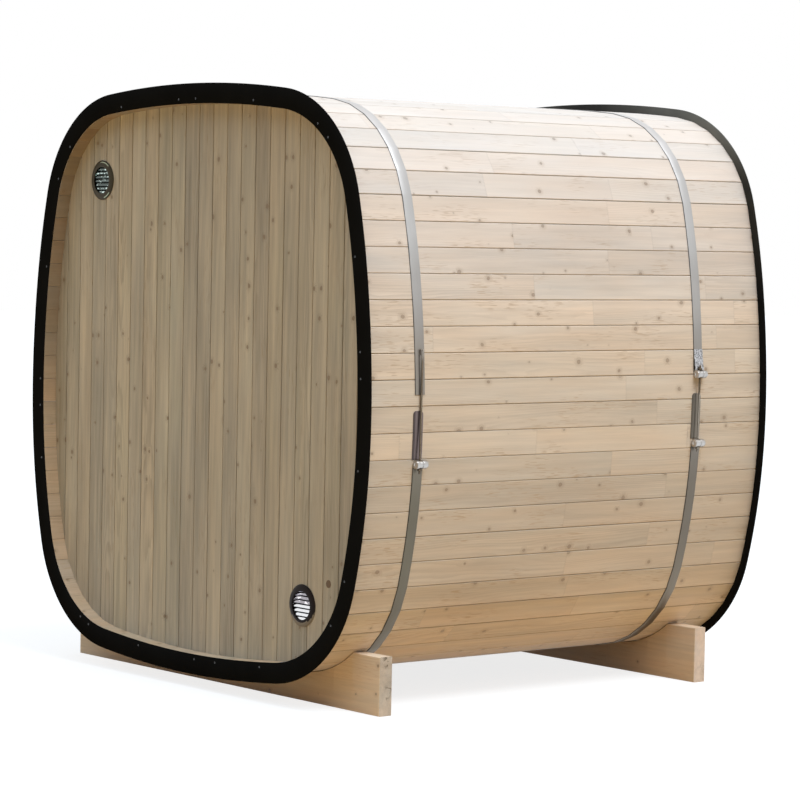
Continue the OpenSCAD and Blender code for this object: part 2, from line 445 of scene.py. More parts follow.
@dataclass(frozen=True)
class Piece:
    """One shown piece of the sauna: its name, its material slot and the CAD node it replaces."""

    name: str
    slot: str
    node: str = ""

    @classmethod
    def of(cls, node: str, slot: str) -> "Piece":
        """Returns the piece that replaces a CAD node."""
        return cls("shown_" + node, slot, node)

    def place(self, mesh: Mesh, regions: Sequence[int], *finishes: Material) -> None:
        """Puts the piece on the body that carries everything, and reports it.

        Args:
            mesh: The mesh of the piece.
            regions: Number of each face's finish; none where there is one finish.
            finishes: The finishes.
        """
        for finish in finishes:
            mesh.materials.append(finish)
        if regions:
            mesh.polygons.foreach_set("material_index", regions)
        made = in_scene(self.name, mesh)
        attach(made, "root")
        if self.node:
            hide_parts(self.node)
        log.info("%s: %d faces", self.name, len(mesh.polygons))


def put_grain(mesh: Mesh, boards: Sequence[Board], groups: Sequence[int]) -> None:
    """Writes the grain of every board on the corners of its faces.

    Args:
        mesh: The mesh of all the boards.
        boards: The boards.
        groups: For each face, the number of its board.
    """
    places = [v.co.copy() for v in mesh.vertices]
    grain, joint, tone = [], [], []
    for face in mesh.polygons:
        board = boards[groups[face.index]]
        for corner in face.vertices:
            trunk, ends = board.coordinates(places[corner])
            grain.extend(trunk)
            joint.extend(ends)
            tone.append(board.cut.tone)
    for name, kind, key, values in (
        ("grain", "FLOAT_VECTOR", "vector", grain),
        ("joint", "FLOAT_VECTOR", "vector", joint),
        ("tone", "FLOAT", "value", tone),
    ):
        mesh.attributes.new(name, kind, "CORNER")
        mesh.attributes[name].data.foreach_set(key, values)


# ---- Finishes ----


class Value:
    """A number, vector or colour of a node tree; numbers can be calculated with."""

    def __init__(self, graph: "Graph", socket: bpy.types.NodeSocket) -> None:
        """Keeps the tree and the socket that gives the value."""
        self.graph = graph
        self.socket = socket

    def other(self, name: str) -> "Value":
        """Returns another output of the same node."""
        return Value(self.graph, self.socket.node.outputs[name])

    def __add__(self, other: Given) -> "Value":
        """Returns the sum."""
        return self.graph.math("ADD", self, other)

    def __sub__(self, other: Given) -> "Value":
        """Returns the difference."""
        return self.graph.math("SUBTRACT", self, other)

    def __rsub__(self, other: Given) -> "Value":
        """Returns the difference from a number."""
        return self.graph.math("SUBTRACT", other, self)

    def __mul__(self, other: Given) -> "Value":
        """Returns the product."""
        return self.graph.math("MULTIPLY", self, other)

    def __truediv__(self, other: Given) -> "Value":
        """Returns the quotient."""
        return self.graph.math("DIVIDE", self, other)

    def __pow__(self, other: Given) -> "Value":
        """Returns the power."""
        return self.graph.math("POWER", self, other)

    def __abs__(self) -> "Value":
        """Returns the size without its sign."""
        return self.graph.math("ABSOLUTE", self)


class Graph:
    """Node tree of a material or of the surroundings, with short ways to add its nodes."""

    def __init__(self, owner: bpy.types.Material | bpy.types.World) -> None:
        """Takes over a tree and empties it.

        Args:
            owner: The material or the surroundings whose tree it is.
        """
        owner.use_nodes = True
        self.tree = owner.node_tree
        self.tree.nodes.clear()

    def call(
        self,
        kind: str,
        inputs: dict[str | int, Given],
        output: str | int = 0,
        **settings: str | float,
    ) -> Value:
        """Adds a node.

        Args:
            kind: Kind of the node.
            inputs: What is fed to its inputs, by their names or numbers.
            output: Name or number of the output wanted.
            settings: Settings of the node.

        Returns:
            What the output gives.
        """
        made = self.tree.nodes.new("ShaderNode" + kind)
        for key, value in settings.items():
            setattr(made, key, value)
        for key, value in inputs.items():
            if isinstance(value, Value):
                self.tree.links.new(value.socket, made.inputs[key])
            else:
                made.inputs[key].default_value = value
        return Value(self, made.outputs[output])

    def math(self, operation: str, *values: Given) -> Value:
        """Returns the result of a calculation on numbers."""
        return self.call("Math", dict(enumerate(values)), operation=operation)

    def vector(self, *parts: Given) -> Value:
        """Returns a vector of three parts."""
        return self.call("CombineXYZ", dict(enumerate(parts)))

    def parts(self, vector: Given) -> list[Value]:
        """Returns the three parts of a vector."""
        first = self.call("SeparateXYZ", {0: vector})
        return [first.other(axis) for axis in "XYZ"]

    def times(self, a: Given, b: Given) -> Value:
        """Returns the product of two vectors, part by part."""
        return self.call("VectorMath", {0: a, 1: b}, operation="MULTIPLY")

    def scaled(self, colour: Given, amount: Given) -> Value:
        """Returns a colour made darker or lighter by a number."""
        return self.call("VectorMath", {0: colour, "Scale": amount}, operation="SCALE")

    def noise(
        self, place: Given, scale: float | Colour, detail: float = 1.0, output: str = "Fac"
    ) -> Value:
        """Adds noise.

        Args:
            place: Where it is looked up.
            scale: How fine it is, all round or along each axis.
            detail: How many finer layers it has.
            output: "Fac" for a number and "Color" for three.

        Returns:
            The noise.
        """
        spot = self.times(place, scale if isinstance(scale, tuple) else (scale,) * 3)
        return self.call("TexNoise", {"Vector": spot, "Scale": 1.0, "Detail": detail}, output)

    def cells(self, place: Given, dimensions: str, feature: str) -> Value:
        """Adds a field of cells.

        Args:
            place: Where it is looked up.
            dimensions: "2D" or "3D".
            feature: "F1" for the nearest seed and "DISTANCE_TO_EDGE" for the edge of the cell.

        Returns:
            The distance to the feature.
        """
        inputs = {"Vector": place, "Scale": 1.0}
        settings = {"voronoi_dimensions": dimensions, "feature": feature}
        return self.call("TexVoronoi", inputs, "Distance", **settings)

    def step(self, *values: Given) -> Value:
        """Returns a smooth step, from a value, its low and its high, and the step's ends if any."""
        return self.call("MapRange", dict(enumerate(values)), interpolation_type="SMOOTHSTEP")

    def fade(self, *values: Given) -> Value:
        """Returns a smooth step down from 1 to 0 as a value passes from low to high."""
        return self.step(*values, 1.0, 0.0)

    def mix(self, share: Given, a: Given, b: Given) -> Value:
        """Returns a mix of two colours."""
        a, b = (c if isinstance(c, Value) else (*c, 1.0) for c in (a, b))
        return self.call("Mix", {0: share, 6: a, 7: b}, 2, data_type="RGBA")

    def seen(self) -> Value:
        """Returns 1 for rays that look at the surroundings and 0 for others."""
        camera, *others = [
            self.call("LightPath", {}, f"Is {kind} Ray")
            for kind in ("Camera", "Glossy", "Transmission")
        ]
        for ray in others:
            camera = self.math("MAXIMUM", camera, ray)
        return camera

    def end(self, kind: str, surface: Value) -> None:
        """Ends the tree with an output of a kind that shows the surface."""
        out = self.tree.nodes.new("ShaderNodeOutput" + kind)
        self.tree.links.new(surface.socket, out.inputs["Surface"])


class Coat(Graph):
    """Node tree of a material, with the place of the surface in the frame."""

    def __init__(self, name: str) -> None:
        """Starts a material with an empty tree.

        Args:
            name: Name of the material.
        """
        self.material = bpy.data.materials.new(name)
        super().__init__(self.material)
        self.place = self.call("TexCoord", {}, "Object")
        self.height = self.parts(self.place)[2]

    def attribute(self, name: str, output: str = "Fac") -> Value:
        """Returns an attribute of the mesh."""
        settings = {"attribute_name": name, "attribute_type": "GEOMETRY"}
        return self.call("Attribute", {}, output, **settings)

    def bump(self, relief: Value, depth: float) -> Value:
        """Returns the normal of a relief, depth metres deep."""
        inputs = {"Strength": 1.0, "Distance": depth, "Height": relief}
        return self.call("Bump", inputs, "Normal")

    def close(self, **values: Given) -> Material:
        """Ends the tree with a principled surface and returns the material."""
        inputs = {key.replace("_", " "): value for key, value in values.items()}
        self.end("Material", self.call("BsdfPrincipled", inputs))
        return self.material


class Trunk(Coat):
    """Node tree of a wood, with the place of the surface in its trunk and in its board."""

    def __init__(self, name: str) -> None:
        """Starts a wood with an empty tree.

        Args:
            name: Name of the wood.
        """
        super().__init__(name)
        self.grain = self.attribute("grain", "Vector")
        self.along, *self.off_pith = self.parts(self.grain)
        self.tone = self.attribute("tone")
        self.start, self.stop, self.aside = self.parts(self.attribute("joint", "Vector"))

    def fibres(self, along: float, across: float, detail: float = 1.0, output: str = "Fac") -> Value:
        """Returns noise with its own scales along the grain and across it."""
        return self.noise(self.grain, (along, across, across), detail, output)


@dataclass(frozen=True)
class Wood:
    """Planed raw softwood: growth rings, knots, fine fibre, and a tone for each length.

    The steps are the distances between rings and between knots. Rings, knots, flecks and checks
    say how strongly these show, contrast how streaky the wood is, and tones and hues how far the
    lengths differ. By height, the wood takes painted light and shade: the tint of foot, a painted
    light from below, at the ground, a band of painted shade above it, and a tint between two
    heights near the top, painted light on the outer faces and painted shade on the inner ones.
    Calm is the part of its unevenness that is left at the top, where the painted light washes it
    out. The constants are the colours of a knot's rim, of a joint and of a check, how deep colour
    loses red, green and blue in late wood, and the heights between which the wood is calmed, the
    painted light of the foot fades out, and the painted shade above it starts and stops.
    """

    name: str
    pale: Colour
    warm: Colour
    green: Colour
    knot: Colour = (0.270, 0.180, 0.105)
    rings: float = 0.13
    knots: float = 0.62
    ring_step: float = 0.0042
    knot_step: float = 0.085
    roughness: float = 0.56
    contrast: float = 1.0
    tones: float = 0.08
    hues: float = 1.0
    # Painted light and shade by height, and the calming of the grain under the painted light at the top.
    top_shading: Colour = WHITE
    top_shading_heights: Flat = (1.15, 1.65)
    foot: Colour = WHITE
    low_shade: float = 0.0
    checks: float = 0.0
    flecks: float = 0.30
    calm: float = 1.0

    RIM = (0.12, 0.07, 0.04)
    JOINT = (0.16, 0.10, 0.06)
    CHECK = (0.14, 0.10, 0.06)
    DEEP = (0.72, 0.60, 0.47)
    # Heights of the calming under the painted light at the top, of the painted light at the foot and of the
    # painted shade above it.
    CALMED = (1.40, 1.95)
    FOOT_LIGHT_FADE = (0.26, 0.40)
    LOW_SHADE = ((0.30, 0.42), (0.72, 0.95))

    def find_knots(self, t: Trunk) -> tuple[Value, Value, Value]:
        """Finds the knots.

        Args:
            t: The tree of the wood.

        Returns:
            Where the hearts of the knots, their rims and the haloes round them lie.
        """
        spot = t.vector(t.along / (self.knot_step * 1.2), t.aside / self.knot_step, 0.0)
        cell = t.cells(spot, "2D", "F1")
        far = (t.fibres(70.0, 90.0, 2.0) - 0.5) * 0.07 + cell
        luck = t.parts(cell.other("Color"))[0]
        size = luck**2.6 * 0.075 + 0.006
        core = t.fade(far, size * 0.65, size * 1.25) * t.step(luck, 0.65, 0.76)
        rim = t.fade(abs(far - size), 0.0, size * 0.4) * core
        halo = t.fade(far, size, size * 3.2 + 0.02) * t.step(luck, 0.65, 0.80)
        return core, rim, halo

    def find_late(self, t: Trunk, halo: Value) -> Value:
        """Finds the dark late wood of the growth rings, which bend round the knots.

        Args:
            t: The tree of the wood.
            halo: Where the haloes of the knots lie.

        Returns:
            How far each place belongs to the late wood.
        """
        drift = t.parts(t.fibres(1.3, 6.0, 1.0, "Color"))
        p, q = ((by - 0.5) * 0.040 + off for off, by in zip(t.off_pith, drift))
        radius = halo * 0.0075 + t.math("SQRT", p * p + q * q)
        phase = t.math("FRACT", radius / self.ring_step + t.fibres(8.0, 70.0, 2.0) * 0.9)
        late = t.step(phase, 0.25, 0.88) * t.fade(phase, 0.90, 1.0)
        return late * t.step(t.fibres(0.9, 16.0), 0.35, 0.70, 0.25, 1.0)

    def find_flecks(self, t: Trunk) -> Value:
        """Returns where the short dark flecks lie, which come in groups."""
        group = t.step(t.fibres(4.0, 11.0), 0.50, 0.66)
        return t.step(t.fibres(22.0, 330.0, 0.0), 0.60, 0.70) * group * self.flecks

    def find_joints(self, t: Trunk) -> Value:
        """Finds the toothed joints between two lengths.

        Args:
            t: The tree of the wood.

        Returns:
            Where the joints lie.
        """
        tooth = t.math("PINGPONG", t.aside, 0.0019)
        line = abs(tooth * -1.6 + t.math("MINIMUM", t.start, t.stop))
        return t.step(line, 0.0003, 0.0011, 0.15, 0.0)

    def find_checks(self, t: Trunk) -> Value:
        """Finds the checks, where the end grain has split.

        Args:
            t: The tree of the wood.

        Returns:
            Where the checks lie.
        """
        crooked = t.times(t.fibres(24.0, 24.0, 3.0, "Color"), (1.5, 1.5, 1.5))
        spot = t.call(
            "VectorMath", {0: crooked, 1: t.times(t.grain, (10.0, 10.0, 10.0))}, operation="ADD"
        )
        split = t.fade(t.cells(spot, "3D", "DISTANCE_TO_EDGE"), 0.0, 0.10)
        return split * t.step(t.fibres(11.0, 11.0), 0.47, 0.66) * self.checks

    def height_shading(self, t: Trunk) -> Value:
        """Finds the painted light and shade that tint the wood by height.

        Args:
            t: The tree of the wood.

        Returns:
            The tint of painted light and shade at each height.
        """
        # Near the top: painted light on the staves and their seams, painted shade on the inner faces.
        tint = t.mix(t.step(t.height, *self.top_shading_heights), WHITE, self.top_shading)
        # At the ground: painted light from below, lighter and bluer.
        tint = t.mix(t.fade(t.height, *self.FOOT_LIGHT_FADE), tint, self.foot)
        # Above the ground: a band of painted shade.
        start, stop = self.LOW_SHADE
        low = t.step(t.height, *start) * t.fade(t.height, *stop)
        return t.mix(low, tint, (1.0 - self.low_shade,) * 3)

    def build(self) -> Material:
        """Returns the material."""
        t = Trunk(self.name)
        core, rim, halo = self.find_knots(t)
        late = self.find_late(t, halo)
        streak = t.fibres(2.6, 60.0, 3.0)
        fibre = t.fibres(14.0, 700.0, 2.0)
        # The grain calms at the top, where the painted light washes it out.
        lively = t.step(t.height, *self.CALMED, 1.0, self.calm)

        warmth = t.tone * 0.9 + (t.fibres(1.7, 11.0, 2.0) * 1.6 - 0.75)
        colour = t.mix(t.step(warmth, 0.0, 1.0), self.pale, self.warm)
        green = t.math("FRACT", t.tone * 3.3) * 0.6 + t.fibres(3.1, 7.0) * 1.3
        colour = t.mix(t.step(green, 0.75, 1.55, 0.0, 0.75), colour, self.green)
        uneven = (t.tone - 0.5) * self.tones - late * self.rings - halo * 0.10
        for noise, share in ((streak, 0.30), (fibre, 0.09), (t.fibres(1.1, 8.0, 2.0), 0.34)):
            uneven = uneven + (noise - 0.5) * (share * self.contrast)
        colour = t.scaled(colour, uneven * lively + 1.0)
        own = (t.math("FRACT", t.tone * 7.7) - 0.5) * 0.36
        hue = (own + (t.fibres(2.4, 13.0, 2.0) - 0.5)) * (0.20 * self.hues) * lively
        colour = t.times(t.times(colour, t.vector(hue + 1.0, 1.0, 1.0 - hue)), self.height_shading(t))

        deep = tuple(part * share for part, share in zip(self.warm, self.DEEP))
        layers = [
            (late * (self.rings * 0.9), deep),
            (halo * 0.18, deep),
            (self.find_flecks(t) * lively, deep),
            (core * self.knots, self.knot),
            (rim * 0.45, self.RIM),
            (self.find_joints(t), self.JOINT),
        ]
        if self.checks:
            layers.append((self.find_checks(t), self.CHECK))
        for share, ink in layers:
            colour = t.mix(share, colour, ink)
        relief = core * 0.6 + (late * 0.5 + fibre * 0.5)
        return t.close(
            Base_Color=colour,
            Roughness=core * -0.12 + (streak * 0.10 + (self.roughness - 0.05)),
            Specular_IOR_Level=0.45,
            Normal=t.bump(relief, 0.00025),
        )


@dataclass(frozen=True)
class Steel:
    """Bare or plated steel, with a little wear in its gloss.

    Heights lists the colours above the first one, each with the height where it is reached.
    Mottled, specks and crumple say how strongly clouds, bright specks of painted highlight and
    dents show, the dents as painted light and shade, and edge how dark the steel is along its
    edge towards the front, a painted shadow.
    """

    name: str
    colour: Colour
    roughness: float
    spread: float = 0.08
    brushed: tuple[float, float, float] = (60.0, 60.0, 60.0)
    mottled: float = 0.10
    relief: float = 0.00002
    specks: float = 0.0
    heights: tuple[tuple[float, Colour], ...] = ()
    crumple: float = 0.0
    edge: float = 0.0

    def build(self) -> Material:
        """Returns the material."""
        g = Coat(self.name)
        grain = g.noise(g.place, self.brushed, 3.0)
        cloud = g.noise(g.place, 7.0, 2.0) - 0.5
        light = (grain - 0.5) * self.mottled + (cloud * (self.mottled * 2) + 1.0)
        # Painted highlights: bright specks.
        if self.specks:
            speck = g.noise(g.place, (60.0, 60.0, 130.0))
            light = light + g.step(speck, 0.56, 0.68) * self.specks
        # The dents show as painted light and shade.
        if self.crumple:
            dent = g.noise(g.place, 170.0, 2.0)
            light = light * g.step(dent, 0.42, 0.58, 1.0 - self.crumple, 1.0 + 1.5 * self.crumple)
        # A painted shadow along the front edge.
        if self.edge:
            aside = (g.noise(g.place, 12.0, 2.0) - 0.5) * 0.16 + g.attribute("aside")
            light = light * g.step(aside, -0.98, -0.80, 1.0 - self.edge, 1.0)
        base, below = self.colour, 0.0
        for top, colour in self.heights:
            base = g.mix(g.step(g.height, below, top), base, colour)
            below = top
        return g.close(
            Base_Color=g.scaled(base, light),
            Metallic=1.0,
            Roughness=(grain - 0.5) * self.spread + self.roughness,
            Normal=g.bump(grain, self.relief),
        )


@dataclass(frozen=True)
class Paint:
    """Satin powder coat on steel: even, with a very fine orange peel.

    Level is its specular level. Where asked, it takes the colour head between the heights of
    upper, and the colour crown between those of top and away from the middle: a painted
    reflection of the lit staves, lighter towards the top and its upper corners.
    """

    name: str
    colour: Colour
    roughness: float
    level: float
    dust: bool = False
    head: Colour = (0.040, 0.038, 0.034)
    crown: Colour = (0.180, 0.172, 0.150)
    upper: Flat = (1.35, 1.80)
    top: Flat = (1.80, 2.06)
    away: float = 0.65

    def build(self) -> Material:
        """Returns the material."""
        g = Coat(self.name)
        base = self.colour
        # Painted reflection of the lit staves: lighter towards the top and the upper corners.
        if self.dust:
            base = g.mix(g.step(g.height, *self.upper), base, self.head)
            aside = g.step(abs(g.parts(g.place)[0]), 0.0, self.away)
            base = g.mix(aside * g.step(g.height, *self.top), base, self.crown)
        wear = g.noise(g.place, 9.0, 3.0) - 0.5
        return g.close(
            Base_Color=g.scaled(base, wear * 0.5 + 1.0),
            Roughness=wear * 0.12 + self.roughness,
            Specular_IOR_Level=self.level,
            Normal=g.bump(g.noise(g.place, 420.0), 0.00003),
        )


class Finishes:
    """Every finish of the sauna, built once."""

    BLACK = (0.010, 0.010, 0.010)
    ROUND_BAND = (25.0, 420.0, 25.0)
    # Painted light: the bands grow lighter towards the top, where the sky lights them.
    BAND_TOP_LIGHT = (
        (1.45, (0.420, 0.400, 0.380)),
        (1.65, (0.510, 0.500, 0.487)),
        (1.87, (0.546, 0.534, 0.525)),
        (1.97, (0.680, 0.665, 0.660)),
    )

    def __init__(self) -> None:
        """Builds the finishes."""
        self.build_woods()
        self.build_steels()
        self.build_paints()

    def build_woods(self) -> None:
        """Builds the woods of the staves, the walls and the cradles."""
        # The stave wood is lighter towards the top and at the foot as painted light, with a band of painted
        # shade above the foot.
        self.stave = Wood(
            "stave_wood", (0.725, 0.622, 0.516), (0.700, 0.570, 0.450), (0.705, 0.592, 0.474),
            knot=(0.260, 0.165, 0.110), rings=0.09, knots=0.50, contrast=1.15, tones=0.20, hues=0.6,
            top_shading=(1.13, 1.14, 1.21), foot=(1.09, 1.11, 1.20), low_shade=0.12, flecks=0.58, calm=0.45,
        ).build()
        # The sides of the seams take a darker copy of the stave wood: painted shade in the seams.
        self.seam = Wood(
            "seam_wood", (0.650, 0.532, 0.415), (0.625, 0.505, 0.385), (0.625, 0.512, 0.395),
            knots=0.0, top_shading=(1.0, 1.03, 1.11), low_shade=0.05,
        ).build()
        # The inner faces take a darker, warmer copy of the stave wood as painted shade with bounced light,
        # darker again towards the top as painted shade.
        self.reveal = Wood(
            "reveal_wood", (0.640, 0.485, 0.330), (0.605, 0.430, 0.275), (0.600, 0.455, 0.290),
            rings=0.09, tones=0.13, top_shading=(0.54, 0.54, 0.54), top_shading_heights=(0.72, 1.40),
        ).build()
        # The wall wood is a darker copy of the stave wood, as painted shade.
        self.wall = Wood(
            "wall_wood", (0.545, 0.471, 0.369), (0.527, 0.448, 0.340), (0.513, 0.453, 0.336),
            rings=0.17, knots=0.80, contrast=2.5, tones=0.24, hues=0.55, flecks=0.45,
        ).build()
        # The cradles' copies differ in brightness as painted light and shade: the front cradle's sides are
        # brightened against the shade under the barrel and its end is darkened.
        self.cradle = Wood(
            "cradle_wood", (0.930, 0.740, 0.550), (0.910, 0.690, 0.480), (0.920, 0.720, 0.500),
            rings=0.05, ring_step=0.0080,
        ).build()
        self.cradle_end = Wood(
            "cradle_end_wood", (0.620, 0.520, 0.420), (0.590, 0.470, 0.360), (0.590, 0.490, 0.375),
            rings=0.12, ring_step=0.0055, contrast=1.8, checks=1.0,
        ).build()
        self.rear_cradle = Wood(
            "rear_cradle_wood", (0.800, 0.610, 0.450), (0.770, 0.560, 0.380), (0.780, 0.595, 0.410),
            rings=0.05, ring_step=0.0080,
        ).build()
        self.rear_cradle_end = Wood(
            "rear_cradle_end_wood",
            (0.790, 0.630, 0.520), (0.770, 0.600, 0.470), (0.780, 0.610, 0.480),
            rings=0.10, ring_step=0.0055, checks=0.35,
        ).build()
        self.plug = Wood(
            "plug_wood", (0.150, 0.085, 0.035), (0.085, 0.045, 0.018), (0.120, 0.065, 0.028),
            knots=0.2,
        ).build()

    def build_steels(self) -> None:
        """Builds the bare and plated steels."""
        # The bands' colours by height are painted light and shade, darker low down and ever lighter towards
        # the top; their darker front edge is a painted shadow.
        waist_shade = ((0.65, (0.163, 0.142, 0.104)), (1.17, (0.285, 0.252, 0.215)))
        self.band = Steel(
            "galvanised_steel", (0.155, 0.127, 0.092), 0.42,
            brushed=self.ROUND_BAND, mottled=0.12, heights=waist_shade + self.BAND_TOP_LIGHT, edge=0.80,
        ).build()
        waist_shade = ((0.67, (0.178, 0.150, 0.118)), (1.17, (0.310, 0.285, 0.255)))
        self.rear_band = Steel(
            "rear_galvanised_steel", (0.235, 0.190, 0.135), 0.42,
            brushed=self.ROUND_BAND, mottled=0.12, heights=waist_shade + self.BAND_TOP_LIGHT, edge=0.80,
        ).build()
        self.rod = Steel(
            "rod_steel", (0.150, 0.115, 0.080), 0.45, mottled=0.16,
            heights=((1.195, (0.150, 0.115, 0.080)), (1.225, (0.290, 0.260, 0.220))),
        ).build()
        self.rear_rod = Steel(
            "rear_rod_steel", (0.26, 0.23, 0.19), 0.50, mottled=0.16,
            heights=((1.062, (0.26, 0.23, 0.19)), (1.078, (0.13, 0.095, 0.06))),
        ).build()
        # The guards' edge darkening is a painted shadow along their front edge.
        self.guard = Steel("guard_steel", (0.190, 0.148, 0.140), 0.40, mottled=0.16, edge=0.5).build()
        self.rear_guard = Steel(
            "rear_guard_steel", (0.215, 0.185, 0.148), 0.40, mottled=0.16, edge=0.4
        ).build()
        # The crumpled tail's dents are painted light and shade in its colour.
        self.crumpled = Steel("crumpled_steel", (0.37, 0.365, 0.37), 0.38, mottled=0.2, crumple=0.34).build()
        self.polished = Steel("polished_steel", (0.86, 0.87, 0.89), 0.14, spread=0.06, mottled=0.06).build()
        # The upper vent's blades: a dark green-grey painted reflection of foliage, with bright specks of
        # painted highlight.
        self.dim = Steel("dim_steel", (0.125, 0.152, 0.142), 0.18, mottled=0.5, specks=5.2).build()
        # The lower vent's upper blades: a darker, patchy copy of the polished steel as painted reflection,
        # with bright specks of painted highlight.
        self.patchy = Steel("patchy_steel", (0.44, 0.42, 0.45), 0.14, mottled=0.4, specks=1.5).build()
        self.screw = Steel("screw_steel", (0.10, 0.10, 0.10), 0.45).build()
        self.bright = Steel("bright_steel", (0.54, 0.52, 0.50), 0.32, mottled=0.12).build()
        # Painted highlight: bright arcs of reflected light on the upper vent's rim.
        self.glint = Steel("glint_steel", (0.30, 0.32, 0.22), 0.25, mottled=0.4).build()

    def build_paints(self) -> None:
        """Builds the paints of the rings and of the vents' rims."""
        self.black = Paint("black_steel", self.BLACK, 0.50, 0.0).build()
        # The rear ring's black is lighter towards the top as painted reflection of the lit staves.
        self.dusty = Paint("dusty_black_steel", self.BLACK, 0.50, 0.0, dust=True).build()
        # The upper vent's rim: a dark green-brown painted reflection of foliage on polished steel.
        self.olive = Paint("olive_steel", (0.054, 0.044, 0.024), 0.35, 0.15).build()
        # The lower vent's rim: near black, a painted reflection of dark surroundings on polished steel.
        self.rim = Paint("rim_steel", (0.012, 0.006, 0.004), 0.30, 0.10).build()
        # The pale bevel of the lower vent's rim: a painted reflection of the wall's wood.
        self.bevel = Paint("bevel_steel", (0.235, 0.195, 0.145), 0.35, 0.2).build()


# ---- Wood ----


